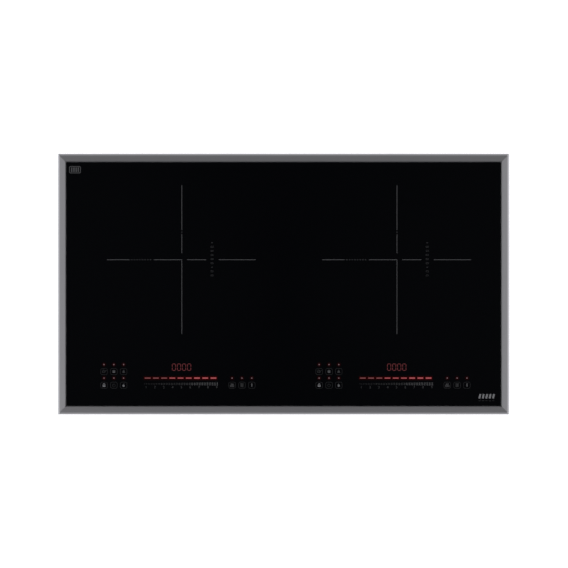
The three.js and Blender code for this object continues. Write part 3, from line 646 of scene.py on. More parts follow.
# %% Rails
frame_low, frame_high = span("frame_rail_front")
rail_bottom, rail_top = frame_low.z, frame_high.z
half_width = cad_bounds[1][0] / MM
half_depth = cad_bounds[1][1] / MM
ledge = half_depth - abs(frame_high.y)
glass_low, glass_high = span("glass_plate")
rail_width = half_width - glass_high.x - 0.15
SAW_GAP = 0.12


def sawn_rail(half_length, half_span):
    """A rail whose outer edge lies along y = -half_span."""
    bm = bmesh.new()
    profile = [
        (0, rail_bottom), (ledge, rail_bottom), (ledge, rail_bottom + 1.2), (rail_width, rail_bottom + 1.2),
        (rail_width, rail_top), (rail_width - 0.9, rail_top), (4.1, rail_top - 2.4),
        (0.9, rail_top - 3.7), (0, rail_bottom + 0.5),
    ]
    section = bm.faces.new([bm.verts.new((-half_length, u - half_span, z)) for u, z in profile])
    swept = bmesh.ops.extrude_face_region(bm, geom=[section])["geom"]
    moved = [v for v in swept if isinstance(v, bmesh.types.BMVert)]
    bmesh.ops.translate(bm, vec=(2 * half_length, 0, 0), verts=moved)

    def long_edges(spots):
        return [
            e for e in bm.edges
            if along(e, 0) and any(
                abs(e.verts[0].co.y + half_span - u) < 0.01 and abs(e.verts[0].co.z - z) < 0.01
                for u, z in spots
            )
        ]

    bevel_edges(bm, long_edges([profile[7]]), 1.7, 8)
    bevel_edges(bm, long_edges([profile[6]]), 0.45, 4)
    bevel_edges(bm, long_edges([profile[5], profile[4], profile[0], profile[8]]), 0.22, 3)
    for end in (-1, 1):
        corner = (end * (half_length - SAW_GAP), -half_span, 0)
        out = Vector((end, 1, 0)).normalized()
        bmesh.ops.bisect_plane(
            bm, geom=bm.verts[:] + bm.edges[:] + bm.faces[:], plane_co=corner, plane_no=out, clear_outer=True
        )
        rim = [e for e in bm.edges if e.is_boundary]
        bmesh.ops.contextual_create(bm, geom=rim)
    return bm


for quarter, (name, half_length, half_span) in enumerate(
    [
        ("front", half_width, half_depth), ("right", half_depth, half_width),
        ("rear", half_width, half_depth), ("left", half_depth, half_width),
    ]
):
    bm = sawn_rail(half_length, half_span)
    quarter_turn = Matrix.Rotation(quarter * math.pi / 2, 3, "Z")
    bmesh.ops.rotate(bm, cent=(0, 0, 0), matrix=quarter_turn, verts=bm.verts)
    grain_way = "y" if quarter % 2 else "x"
    rail = make_piece(
        f"rail_{name}", bm, frame_metal[grain_way], "housing", [f"frame_rail_{name}"], sharp=25
    )
    print(rail.name, len(rail.data.polygons), "faces")

# %% [markdown]
# ## The glass
#
# The plate has small round corners and ground arrises, which catch a thin line of light. It is one bevelled
# block.

# %% Glass plate
plate = rounded_block(glass_low, glass_high, 0.35, 3, upright=2.0)
make_piece("ceramic_glass", plate, glass_black, "housing", ["glass_plate"])

# %% [markdown]
# ## Printed marks
#
# The print is a layer a few hundredths of a millimetre thick, standing on the glass. Bars, rounded
# outlines, discs and numbers are all flat shapes pulled up by that much, and those of one strength and
# place form one piece. Their undersides lie a hair inside the glass, so that no gap shows.

# %% Flat shapes for the print
PRINT_BASE = glass_top - 0.01
PRINT_THICK = 0.045


def raise_faces(bm, faces, thickness):
    """Pulls flat faces up into a closed layer."""
    lifted = bmesh.ops.extrude_face_region(bm, geom=faces, use_keep_orig=True)["geom"]
    top = [v for v in lifted if isinstance(v, bmesh.types.BMVert)]
    bmesh.ops.translate(bm, vec=(0, 0, thickness), verts=top)


def bar(bm, x, y, length, width, angle=0.0, thickness=PRINT_THICK):
    """A flat bar about (x, y), turned by an angle in degrees."""
    turned = Matrix.Rotation(math.radians(angle), 4, "Z")
    place = Matrix.Translation((x, y, PRINT_BASE + thickness / 2)) @ turned
    bmesh.ops.create_cube(bm, size=1, matrix=place @ Matrix.Diagonal((length, width, thickness, 1)))


def disc(bm, x, y, radius, thickness=PRINT_THICK, segments=20):
    place = Matrix.Translation((x, y, PRINT_BASE + thickness / 2))
    bmesh.ops.create_cone(
        bm, cap_ends=True, segments=segments, radius1=radius, radius2=radius, depth=thickness, matrix=place
    )


def outline(bm, x, y, width, depth, corner, line):
    """A rounded rectangle drawn as a line."""
    place = Matrix.Translation((x, y, PRINT_BASE)) @ Matrix.Diagonal((width, depth, 1, 1))
    made = bmesh.ops.create_grid(bm, x_segments=1, y_segments=1, size=0.5, matrix=place)["verts"]
    rounded = bmesh.ops.bevel(
        bm, geom=made, offset=corner, offset_type="OFFSET", affect="VERTICES",
            segments=5, profile=0.5, material=-1,
    )
    face = [f for f in rounded["faces"] if f.is_valid] or [f for v in rounded["verts"] for f in v.link_faces]
    face = max(set(face), key=lambda f: f.calc_area())
    rim = bmesh.ops.inset_individual(bm, faces=[face], thickness=line, use_even_offset=True)["faces"]
    bmesh.ops.delete(bm, geom=[face], context="FACES_ONLY")
    raise_faces(bm, rim, PRINT_THICK)


# %% [markdown]
# The cross in each zone has arms of unequal pieces, with breaks where small marks stand. Those marks are
# plain little outlines and say nothing.

# %% Zone crosses
MARK_LINE = 0.85
LEFT_ARM = [(-120.8, -84.5), (-45.2, 0)]
RIGHT_ARM = [(8.5, 39.2), (59.3, 119.3)]
REAR_ARM = [(10.5, 41), (47.7, 120)]
FRONT_ARM = [(-119.5, 0)]

for side in SIDES:
    cx, cy = zone[side].x, zone[side].y
    cross = bmesh.new()
    for start, end in LEFT_ARM + RIGHT_ARM:
        bar(cross, cx + (start + end) / 2, cy, end - start, MARK_LINE)
    for start, end in REAR_ARM + FRONT_ARM:
        bar(cross, cx, cy + (start + end) / 2, MARK_LINE, end - start)
    make_piece(f"zone_cross_{side}", cross, ink_cross, "housing", merge=False)
    small = bmesh.new()
    for i in range(8):
        disc(small, cx - 80.6 + 4.3 * i, cy, 0.95)
    disc(small, cx, cy + 44.4, 0.9)
    make_piece(f"arm_marks_{side}", small, ink_key, "housing", merge=False)
    upright = bmesh.new()
    for i in range(9):
        small_mark = i in (0, 6)
        wide, high = (2.6, 1.1) if small_mark else (4.2, 2.4)
        outline(upright, cx + 48.7, cy + 27.4 - 6.58 * i, wide, high, 0.5, 0.4)
    make_piece(f"side_marks_{side}", upright, ink_key, "housing", merge=False)
print("crosses printed")

# %% [markdown]
# ## The touch keys
#
# Six keys stand to the left of each power bar and three to the right, each a thin rounded outline round a
# plain symbol. The symbols are drawn with the same bars, discs and outlines.

# %% Key symbols
def pan(bm, x, y):
    outline(bm, x - 0.6, y - 0.4, 4.6, 3.0, 0.9, 0.5)
    bar(bm, x + 2.9, y + 1.3, 3.0, 0.5, 30)
    bar(bm, x - 0.6, y + 2.4, 3.6, 0.5, -12)


def pot(bm, x, y):
    bar(bm, x, y - 0.7, 4.2, 2.6)
    bar(bm, x, y + 1.3, 5.2, 0.6)
    disc(bm, x, y + 2.1, 0.7)


def bell(bm, x, y):
    disc(bm, x, y, 1.7)
    bar(bm, x, y - 1.8, 4.4, 0.6)
    bar(bm, x, y + 2.3, 0.6, 1.4)


def padlock(bm, x, y):
    bar(bm, x, y - 0.8, 4.4, 3.4)
    outline(bm, x, y + 1.1, 3.2, 3.8, 1.4, 0.6)


def timer(bm, x, y):
    outline(bm, x, y - 0.3, 5.2, 5.2, 2.4, 0.5)
    bar(bm, x, y + 0.6, 0.55, 2.2)


def drop(bm, x, y):
    disc(bm, x, y - 0.7, 1.7)
    bar(bm, x, y + 0.6, 1.7, 1.7, 45)
    bar(bm, x, y + 1.7, 0.9, 0.9, 45)


def boiling_pot(bm, x, y):
    outline(bm, x, y - 1.2, 6.4, 3.2, 0.8, 0.5)
    for step in (-1.6, 0, 1.6):
        bar(bm, x + step, y + 1.8, 0.7, 2.2)
    bar(bm, x, y - 1.2, 3.4, 0.6)


def grill(bm, x, y):
    for step in (-1.8, -0.6, 0.6, 1.8):
        bar(bm, x + step, y - 0.3, 0.7, 5.0)
    bar(bm, x, y + 2.6, 5.2, 0.5)


def power(bm, x, y):
    bar(bm, x, y + 0.3, 1.7, 5.0)


LEFT_KEYS = (-125.4, -109.5, -93.8)
RIGHT_KEYS = (81.0, 96.9, 112.8)
FRONT_ROW = -163.0
BACK_ROW = -141.0
KEYS = (
    [(x, BACK_ROW, symbol, shade) for x, symbol, shade in zip(LEFT_KEYS, (pan, pot, bell), (1, 2, 1))]
    + [(x, FRONT_ROW, symbol, shade) for x, symbol, shade in zip(LEFT_KEYS, (padlock, timer, drop), (3, 0, 3))]
    + [
        (x, FRONT_ROW, symbol, shade)
        for x, symbol, shade in zip(RIGHT_KEYS, (boiling_pot, grill, power), (2, 1, 2))
    ]
)
INKS = (ink_faint, ink_key, ink_cross, ink_pale)

for side in SIDES:
    rims = bmesh.new()
    symbols = {shade: bmesh.new() for shade in {key[3] for key in KEYS}}
    for x, y, symbol, shade in KEYS:
        outline(rims, zone[side].x + x, y, 11.3, 10.6, 3.0, 0.6)
        symbol(symbols[shade], zone[side].x + x, y)
    make_piece(f"key_outlines_{side}", rims, ink_faint, "housing", merge=False)
    for shade, bm in symbols.items():
        make_piece(f"key_symbols_{shade}_{side}", bm, INKS[shade], "housing", merge=False)
print(len(KEYS), "keys a side")

# %% [markdown]
# ## Lights and the power scale
#
# A dot lights behind each key, nine bars show the power, thicker and brighter as it grows, and four
# seven-segment digits show the time. Under the bars, a scale of ticks grows the same way, with the numbers
# 1 to 9. Each light has a wider and much dimmer layer under it for the glow that spreads in the glass.

# %% Dots, bars and digits
DOT_ROWS = [(LEFT_KEYS, -129.7), (LEFT_KEYS, -151.5), (RIGHT_KEYS, -151.5)]
BAR_START, BAR_STEP, BAR_ROW = -55.0, 13.24, -151.5
BAR_THICKNESS = (1.0, 1.0, 1.0, 1.4, 1.4, 1.4, 1.9, 1.9, 1.9)
LOW_BARS = 3
DIGIT_PLACES = (-12.7, -4.5, 3.6, 11.8)
DIGIT_ROW = -133.9
DIGIT_WIDTH, DIGIT_HEIGHT, SEGMENT = 5.4, 10.4, 0.75


def zero(bm, x, y, line, thickness):
    """The six lit segments of a nought."""
    half_w, half_h = DIGIT_WIDTH / 2, DIGIT_HEIGHT / 2
    for end in (-1, 1):
        bar(bm, x, y + end * half_h, DIGIT_WIDTH - 1.4, line, thickness=thickness)
        for way in (-1, 1):
            bar(bm, x + way * half_w, y + end * half_h / 2, line, half_h - 1.3, thickness=thickness)


for side in SIDES:
    cx = zone[side].x
    dots, bars, low_bars, digits, edges, halo = (bmesh.new() for _ in range(6))
    for places, y in DOT_ROWS:
        for x in places:
            disc(dots, cx + x, y, 1.0, 0.04)
            disc(halo, cx + x, y, 3.4, 0.02)
    for i, thick in enumerate(BAR_THICKNESS):
        x = cx + BAR_START + BAR_STEP * i
        bar(low_bars if i < LOW_BARS else bars, x, BAR_ROW, 9.0, thick, thickness=0.05)
        bar(edges, x, BAR_ROW, 10.6, 1.95 * thick, thickness=0.035)
        bar(halo, x, BAR_ROW, BAR_STEP - 0.1, thick + 5.5, thickness=0.02)
    for x in DIGIT_PLACES:
        zero(digits, cx + x, DIGIT_ROW, SEGMENT, 0.05)
        zero(halo, cx + x, DIGIT_ROW, 2.4, 0.02)
    make_piece(f"key_lights_{side}", dots, light_dot, "housing", merge=False)
    make_piece(f"power_lights_{side}", bars, light_bar, "housing", merge=False)
    make_piece(f"low_power_lights_{side}", low_bars, light_bar_low, "housing", merge=False)
    make_piece(f"time_digits_{side}", digits, light_digit, "housing", merge=False)
    make_piece(f"power_glow_{side}", edges, light_edge, "housing", merge=False)
    make_piece(f"light_glow_{side}", halo, light_halo, "housing", merge=False)

# %% Ticks and numbers
TICK_START, TICK_END, TICK_ROW = -59.5, 57.4, -160.9
TICKS = 45
TICK_INKS = (ink_faint, ink_dim, ink_key, ink_cross)
TICK_LIMITS = (0.2, 0.45, 0.62)
NUMBER_START, NUMBER_STEP, NUMBER_ROW = -57.6, 14.23, -166.3


def numeral(bm, text, x, y, height):
    """A number as a flat raised shape, centred on (x, y)."""
    curve = bpy.data.curves.new("numeral", "FONT")
    curve.body = text
    curve.size = height * 1.4
    curve.align_x = "CENTER"
    curve.align_y = "CENTER"
    curve.extrude = PRINT_THICK / 2
    writing = show("numeral", curve)
    mesh = bpy.data.meshes.new_from_object(writing)
    mesh.transform(Matrix.Translation((x, y, PRINT_BASE + PRINT_THICK / 2)))
    bm.from_mesh(mesh)
    bpy.data.meshes.remove(mesh)
    bpy.data.curves.remove(curve)


for side in SIDES:
    cx = zone[side].x
    numbers = bmesh.new()
    ticks = [bmesh.new() for _ in TICK_INKS]
    for i in range(TICKS):
        share = i / (TICKS - 1)
        tick_height = 1.8 + 3.4 * share
        chosen = sum(share > limit for limit in TICK_LIMITS)
        bar(ticks[chosen], cx + TICK_START + (TICK_END - TICK_START) * share, TICK_ROW, 0.9, tick_height)
    for i in range(9):
        numeral(numbers, str(i + 1), cx + NUMBER_START + NUMBER_STEP * i, NUMBER_ROW, 3.9)
    bmesh.ops.remove_doubles(numbers, verts=numbers.verts, dist=0.0005)
    for number, (bm, tick_ink) in enumerate(zip(ticks, TICK_INKS)):
        make_piece(f"ticks_{number}_{side}", bm, tick_ink, "housing", merge=False)
    make_piece(f"scale_numbers_{side}", numbers, ink_key, "housing", merge=False)
print("scales printed")

# %% [markdown]
# Two corners of the glass carry a small printed badge. Both are plain patterns of bars and outlines.

# %% Corner badges
badge = bmesh.new()
outline(badge, -336.2, 184.3, 18.6, 11.4, 2.4, 0.9)
for step in (-5.6, -2.8, 0, 2.8, 5.6):
    bar(badge, -336.2 + step, 184.3, 1.5, 7.4)
make_piece("rear_badge", badge, ink_cross, "housing", merge=False)
plain_badge, under_line = bmesh.new(), bmesh.new()
for i in range(5):
    bar(plain_badge, 316.3 + 5.5 * i, -180.8, 3.0, 7.4, -14)
    bar(under_line, 316.0 + 5.5 * i, -188.0, 3.6, 0.6)
make_piece("front_badge", plain_badge, ink_pale, "housing", merge=False)
make_piece("front_badge_line", under_line, ink_dim, "housing", merge=False)
print("badges printed")

# %% [markdown]
# ## The worktop seal
#
# A strip of closed-cell foam runs round under the rails, where the frame rests on the worktop. It is drawn
# flat, as a rectangle with its middle inset away, and pulled up to its thickness. Foam has no crisp edges,
# so all of them get a soft bevel.

# %% Foam strip
SEAL_WIDTH = 14
seal_low, seal_high = span("worktop_seal")
strip = bmesh.new()
strip_size = seal_high - seal_low
strip_place = Matrix.Translation((0, 0, seal_low.z)) @ Matrix.Diagonal((strip_size.x, strip_size.y, 1, 1))
bmesh.ops.create_grid(strip, x_segments=1, y_segments=1, size=0.5, matrix=strip_place)
opening = strip.faces[:]
band = bmesh.ops.inset_individual(strip, faces=opening, thickness=SEAL_WIDTH, use_even_offset=True)["faces"]
bmesh.ops.delete(strip, geom=opening, context="FACES_ONLY")
raise_faces(strip, band, strip_size.z)
bmesh.ops.recalc_face_normals(strip, faces=strip.faces)
bevel_edges(strip, [e for e in strip.edges if e.calc_face_angle(0) > 1], 0.4, 3)
make_piece("foam_strip", strip, foam, "housing", ["worktop_seal"])
print("strip", SEAL_WIDTH, "mm wide")

# %% [markdown]
# ## The base tray
#
# The tray is pressed from one sheet of steel, and it can be modelled the same way: a flat sheet with
# rounded corners, an inset for the flange, and the middle pushed down. The two bends are bevels. Only then
# does the sheet get its thickness, from a Solidify modifier that works away from the drawn face, so the
# drawn face is the inside of the tray and the upper side of its flange.

# %% Pressed sheet
SHEET = 1.0
FLANGE_WIDTH = 10.0
WALL_X, WALL_Y, WALL_CORNER = 332.0, 178.0, 8.0
tray_top = span("base_tray")[1].z


def flat_outline(half_x, half_y, corner, z):
    """A bmesh with one flat face: a rectangle with round corners."""
    bm = bmesh.new()
    place = Matrix.Translation((0, 0, z)) @ Matrix.Diagonal((2 * half_x, 2 * half_y, 1, 1))
    corners = bmesh.ops.create_grid(bm, x_segments=1, y_segments=1, size=0.5, matrix=place)["verts"]
    bmesh.ops.bevel(
        bm, geom=corners, offset=corner, offset_type="OFFSET", affect="VERTICES",
            segments=8, profile=0.5, material=-1,
    )
    return bm


sheet = flat_outline(WALL_X + FLANGE_WIDTH, WALL_Y + FLANGE_WIDTH, WALL_CORNER + FLANGE_WIDTH, tray_top)
bmesh.ops.recalc_face_normals(sheet, faces=sheet.faces)
well = max(sheet.faces, key=lambda f: f.calc_area())
bmesh.ops.inset_individual(sheet, faces=[well], thickness=FLANGE_WIDTH + SHEET, use_even_offset=True)
upper_bend = well.edges[:]
pushed = bmesh.ops.extrude_face_region(sheet, geom=[well])["geom"]
floor_face = next(g for g in pushed if isinstance(g, bmesh.types.BMFace))
bmesh.ops.delete(sheet, geom=[f for f in (well,) if f.is_valid], context="FACES_ONLY")
bmesh.ops.translate(sheet, vec=(0, 0, SHEET - tray_top), verts=floor_face.verts)
bevel_edges(sheet, [e for e in upper_bend if e.is_valid], 1.9, 4)
low_ring = [e for e in sheet.edges if all(abs(v.co.z - SHEET) < 0.001 for v in e.verts)]
bevel_edges(sheet, low_ring, 1.4, 4)
if sum(f.normal.z * f.calc_area() for f in sheet.faces) < 0:
    bmesh.ops.reverse_faces(sheet, faces=sheet.faces)
print("pressed sheet:", len(sheet.faces), "faces")


def thickened(bm, thickness):
    """The sheet with a thickness, laid on behind its faces."""
    mesh = bpy.data.meshes.new("sheet")
    bm.to_mesh(mesh)
    bm.free()
    thing = show("sheet", mesh)
    wall = thing.modifiers.new("thickness", "SOLIDIFY")
    wall.thickness = thickness
    wall.offset = -1
    wall.use_even_offset = True
    result = bmesh.new()
    result.from_object(thing, bpy.context.evaluated_depsgraph_get())
    bpy.data.meshes.remove(mesh)
    return result


tray = thickened(sheet, SHEET)

# %% [markdown]
# The air comes in through slots under the fans and leaves through slots in the front and rear walls. Each
# cutter is a bar with round ends, long enough to pass through the sheet. All of them are taken out in one
# Boolean step, with the hole for the cable gland and a few shallow grooves, which show where the floor is
# pressed up to stiffen it.

# %% Slots, gland hole and stiffening grooves
SLOT_WIDTH, SLOT_PITCH, SLOT_SILL = 4.0, 9.0, 12.0
REAR_SLOTS, FRONT_SLOTS, FLOOR_SLOTS = (11, 22.0), (9, 16.0), 7
INTAKE_RADIUS = 35.0


def slot_cutter(centre, size, through):
    """A bar with round ends, through the sheet along one axis."""
    centre, half = Vector(centre), Vector(size) / 2
    bm = bmesh.new()
    block(bm, centre - half, centre + half)
    bevel_edges(bm, [e for e in bm.edges if along(e, through)], SLOT_WIDTH / 2 - 0.01, 5)
    return bm


cutters = []
for side in SIDES:
    for wall_y, (count, tall) in ((WALL_Y, REAR_SLOTS), (-WALL_Y, FRONT_SLOTS)):
        for i in range(count):
            x = zone[side].x + (i - (count - 1) / 2) * SLOT_PITCH
            cutters.append(slot_cutter((x, wall_y, SLOT_SILL + tall / 2), (SLOT_WIDTH, 8, tall), 1))
    fan = middle(f"fan_frame_{side}")
    for i in range(FLOOR_SLOTS):
        across = (i - (FLOOR_SLOTS - 1) / 2) * SLOT_PITCH
        long = 2 * math.sqrt(INTAKE_RADIUS**2 - across**2)
        cutters.append(slot_cutter((fan.x, fan.y + across, 0), (long, SLOT_WIDTH, 6), 2))
for groove_y in (-148, -128, -108):
    cutters.append(slot_cutter((0, groove_y, -1.5), (560, SLOT_WIDTH * 1.6, 3.8), 2))
gland = middle("cable_gland")
GLAND_HEIGHT = 30.0
gland_hole = turn([(0, -6), (9.7, -6), (9.7, 6), (0, 6)], (0, 0, 0), 32)
laid_down = Matrix.Rotation(math.pi / 2, 3, "X")
bmesh.ops.rotate(gland_hole, cent=(0, 0, 0), matrix=laid_down, verts=gland_hole.verts)
bmesh.ops.translate(gland_hole, vec=(gland.x, WALL_Y, GLAND_HEIGHT), verts=gland_hole.verts)
print(len(cutters), "slots and grooves")
tray = combined(tray, joined(*cutters, gland_hole))
print("tray after cutting:", len(tray.faces), "faces")

# %% [markdown]
# The clamps turn in small brackets on the side walls. A bracket is a bent strip: an L drawn as six points,
# pulled out to its width, rounded at the bend and at its free corners, and bored. The boards stand on
# turned pillars.

# %% Brackets and pillars
LUG_WIDTH, LUG_DEPTH, LUG_THICK = 16.0, 12.5, 1.5
LUG_HEIGHTS = (17.0, 63.0)
LUG_LEG = 8.5
CLAMP_OUT = 7.0
clamp_axis = {corner: middle(f"clamp_screw_{corner}") for corner in CORNERS}


def bracket(outward, wall, y, z):
    """An L-shaped lug on the outside of a side wall, with its flat top at z + LUG_THICK."""
    bm = bmesh.new()
    points = [
        (0, z + LUG_THICK), (LUG_DEPTH, z + LUG_THICK), (LUG_DEPTH, z), (LUG_THICK, z),
        (LUG_THICK, z - LUG_LEG), (0, z - LUG_LEG),
    ]
    face = bm.faces.new([bm.verts.new((wall + outward * u, y - LUG_WIDTH / 2, h)) for u, h in points])
    pulled = bmesh.ops.extrude_face_region(bm, geom=[face], use_keep_orig=True)["geom"]
    moved = [v for v in pulled if isinstance(v, bmesh.types.BMVert)]
    bmesh.ops.translate(bm, vec=(0, LUG_WIDTH, 0), verts=moved)

    def edges_at(u, h, axis):
        return [
            e for e in bm.edges if along(e, axis)
            and all(abs(outward * (v.co.x - wall) - u) < 0.01 for v in e.verts)
            and (h is None or all(abs(v.co.z - h) < 0.01 for v in e.verts))
        ]

    bevel_edges(bm, edges_at(0, z + LUG_THICK, 1), 1.9, 4)
    bevel_edges(bm, edges_at(LUG_THICK, z, 1), 0.5, 3)
    bevel_edges(bm, edges_at(LUG_DEPTH, None, 2), 3.5, 5)
    bore = turn([(0, z - 2), (2.7, z - 2), (2.7, z + 4), (0, z + 4)], (wall + outward * CLAMP_OUT, y, 0), 24)
    return combined(bm, bore)


lugs = [
    bracket(math.copysign(1, axis.x), math.copysign(WALL_X, axis.x), axis.y, z)
    for axis in clamp_axis.values() for z in LUG_HEIGHTS
]
BOARD_INSET = 7.0
pillar_spots = []
for board in ("power_board_left", "power_board_right", "mains_filter_board"):
    low, high = span(board)
    pillar_spots += [
        (x, y)
        for x in (low.x + BOARD_INSET, high.x - BOARD_INSET)
        for y in (low.y + BOARD_INSET, high.y - BOARD_INSET)
    ]
pillar_profile = [
    (0, SHEET - 0.05), (4.6, SHEET - 0.05), (4.1, SHEET + 0.6), (3.6, 5.8), (3.4, 6), (0, 6),
]
pillars = [turn(pillar_profile, (x, y, 0), 20) for x, y in pillar_spots]
tray = joined(tray, *lugs, *pillars)
make_piece("base_tray_pressing", tray, powder_coat, "housing", ["base_tray"], merge=False)
print(len(lugs), "brackets and", len(pillars), "pillars")

# %% [markdown]
# Small pan-head screws hold the boards and the parts inside the walls. One is modelled with care, with a
# domed head and a cross recess cut by two crossed bars, and then placed wherever it is needed by copying
# its mesh.

# %% Pan-head screws
def pan_head(radius, height):
    """A screw head that stands on z = 0, pointing up."""
    head = turn(
        [
            (0, 0), (radius, 0), (radius, 0.35 * height), (0.86 * radius, 0.75 * height),
            (0.5 * radius, height), (0, height),
        ],
        (0, 0, 0), 28,
    )
    arm, blade = 0.52 * radius, 0.12 * radius
    first, second = bmesh.new(), bmesh.new()
    block(first, (-arm, -blade, 0.4 * height), (arm, blade, 2 * height))
    block(second, (-blade, -arm, 0.4 * height), (blade, arm, 2 * height))
    return combined(head, combined(first, second, "UNION"))


def repeated(master, places):
    """Copies of a bmesh, one at each matrix, as one bmesh. The master is used up."""
    pattern = bpy.data.meshes.new("pattern")
    bmesh.ops.recalc_face_normals(master, faces=master.faces)
    master.to_mesh(pattern)
    master.free()
    whole = bmesh.new()
    for place in places:
        copy = pattern.copy()
        copy.transform(place)
        whole.from_mesh(copy)
        bpy.data.meshes.remove(copy)
    bpy.data.meshes.remove(pattern)
    return whole


board_top = span("power_board_left")[1].z
screw_places = [Matrix.Translation((x, y, board_top)) for x, y in pillar_spots]
for way in (-1, 1):
    for y in (-60, 0, 60):
        upright = Matrix.Rotation(way * math.pi / 2, 4, "Y")
        screw_places.append(Matrix.Translation((way * WALL_X, y, 45)) @ upright)
    for x in (-300, -30, 60, 300):
        level = Matrix.Rotation(-way * math.pi / 2, 4, "X")
        screw_places.append(Matrix.Translation((x, way * WALL_Y, 50)) @ level)
heads = repeated(pan_head(3.4, 2.0), screw_places)
make_piece("pan_head_screws", heads, bright_zinc, "housing", merge=False)
print(len(screw_places), "screws")

# %% [markdown]
# ## The cable gland
#
# The gland goes through the rear wall: a hexagon and a ribbed nose outside, a threaded neck through the
# hole, and a hexagonal nut inside. The round parts are turned about an upright axis and then laid down
# along y. The hexagons are six-sided cones with equal ends, bored so that they fit over the neck.

# %% Gland
gland_low, gland_high = span("cable_gland")
NECK, BORE = 9.2, 6.5
NUT_THICK, BODY_THICK = 6.0, 4.0


def hexagon(radius, z0, z1, bore):
    """A bored hexagonal nut with softened edges."""
    bm = bmesh.new()
    place = Matrix.Translation((0, 0, (z0 + z1) / 2))
    bmesh.ops.create_cone(
        bm, cap_ends=True, segments=6, radius1=radius, radius2=radius, depth=z1 - z0, matrix=place
    )
    bevel_edges(bm, bm.edges, 0.6, 2)
    return combined(bm, turn([(0, z0 - 1), (bore, z0 - 1), (bore, z1 + 1), (0, z1 + 1)], (0, 0, 0), 32))


inner_end, outer_end = gland_low.y, gland_high.y
face_outside = WALL_Y + 0.3
neck_ring = turn(
    [
        (BORE, inner_end), (NECK - 0.3, inner_end), (NECK, inner_end + 0.3),
        (NECK, face_outside + 1), (BORE, face_outside + 1),
    ],
    (0, 0, 0),
)
nose = turn(
    [
        (BORE, face_outside + BODY_THICK + 0.02), (10.3, face_outside + BODY_THICK + 0.02),
        (10.3, outer_end - 2.4), (9.6, outer_end - 0.8), (8.4, outer_end),
        (BORE + 0.5, outer_end), (BORE, outer_end - 0.5),
    ],
    (0, 0, 0),
)
rib = bmesh.new()
block(rib, (9.9, -0.7, face_outside + BODY_THICK + 0.4), (10.6, 0.7, outer_end - 2.6))
bevel_edges(rib, rib.edges, 0.25, 2)
ribs = repeated(rib, [Matrix.Rotation(math.tau * i / 18, 4, "Z") for i in range(18)])
gland_parts = joined(
    neck_ring, nose, ribs,
    hexagon(14.0, face_outside, face_outside + BODY_THICK, NECK + 0.02),
    hexagon(13.0, inner_end, inner_end + NUT_THICK, NECK + 0.02),
)
laid = Matrix.Translation((gland.x, 0, GLAND_HEIGHT)) @ Matrix.Rotation(-math.pi / 2, 4, "X")
bmesh.ops.transform(gland_parts, matrix=laid, verts=gland_parts.verts)
make_piece("gland_body", gland_parts, black_moulding, "housing", ["cable_gland"], merge=False)
print("gland from y", round(inner_end, 1), "to", round(outer_end, 1))

# %% [markdown]
# ## Clamp screws
#
# A real screw has a real thread, and a spin makes one: two edges that form a V, one pitch tall, turn about
# the axis and rise a little with every step. After one turn the V's upper end meets the place where its
# lower end began, so merging doubles closes the surface. Two bisect planes then square off its ends.

# %% Threaded screws
PITCH, THREAD_STEPS = 1.0, 14
CREST, ROOT = 2.2, 1.75


def thread(z0, z1):
    """A threaded rod about the z axis."""
    bm = bmesh.new()
    turns = math.ceil((z1 - z0) / PITCH) + 3
    tooth = [
        bm.verts.new((r, 0, z0 - 2 * PITCH + h * PITCH)) for r, h in ((ROOT, 0), (CREST, 0.5), (ROOT, 1))
    ]
    edges = [bm.edges.new(pair) for pair in zip(tooth, tooth[1:])]
    bmesh.ops.spin(
        bm, geom=tooth + edges, cent=(0, 0, 0), axis=(0, 0, 1), dvec=(0, 0, PITCH / THREAD_STEPS),
        angle=math.tau * turns, steps=THREAD_STEPS * turns,
    )
    bmesh.ops.remove_doubles(bm, verts=bm.verts, dist=0.01)
    for level, way in ((z0, -1), (z1, 1)):
        bmesh.ops.bisect_plane(
            bm, geom=bm.verts[:] + bm.edges[:] + bm.faces[:], plane_co=(0, 0, level), plane_no=(0, 0, way),
            clear_outer=True,
        )
        rim = [e for e in bm.edges if e.is_boundary and all(abs(v.co.z - level) < 0.001 for v in e.verts)]
        bmesh.ops.contextual_create(bm, geom=rim)
    return bm


def hex_head(radius, z0, z1):
    """A hexagonal head whose lower corners are turned off, with a cross recess in its lower face."""
    bm = bmesh.new()
    place = Matrix.Translation((0, 0, (z0 + z1) / 2))
    bmesh.ops.create_cone(
        bm, cap_ends=True, segments=6, radius1=radius, radius2=radius, depth=z1 - z0, matrix=place
    )
    chamfer_profile = [(0, z0), (0.82 * radius, z0), (radius + 0.2, z0 + 0.8), (radius + 0.2, z1), (0, z1)]
    chamfer = turn(chamfer_profile, (0, 0, 0), 36)
    first, second = bmesh.new(), bmesh.new()
    block(first, (-2.6, -0.45, z0 - 1), (2.6, 0.45, z0 + 1.8))
    block(second, (-0.45, -2.6, z0 - 1), (0.45, 2.6, z0 + 1.8))
    return combined(combined(bm, chamfer, "INTERSECT"), combined(first, second, "UNION"))


for corner in CORNERS:
    low, high = span(f"clamp_screw_{corner}")
    axis = clamp_axis[corner]
    head_top = low.z + 3.5
    collar = turn([(0, head_top), (2.2, head_top), (2.2, 19.5), (1.7, 20.1), (0, 20.1)], (0, 0, 0), 24)
    tip = turn([(0, high.z - 1.2), (1.7, high.z - 1.2), (1.1, high.z), (0, high.z)], (0, 0, 0), 20)
    screw = joined(hex_head(4.5, low.z, head_top), collar, thread(20.1, high.z - 1.2), tip)
    bmesh.ops.translate(screw, vec=(axis.x, axis.y, 0), verts=screw.verts)
    make_piece(
        f"clamp_screw_turned_{corner}", screw, bright_zinc, f"clamp_screw_body_{corner}",
        [f"clamp_screw_{corner}"], merge=False, sharp=28,
    )
print("thread of", PITCH, "mm pitch")

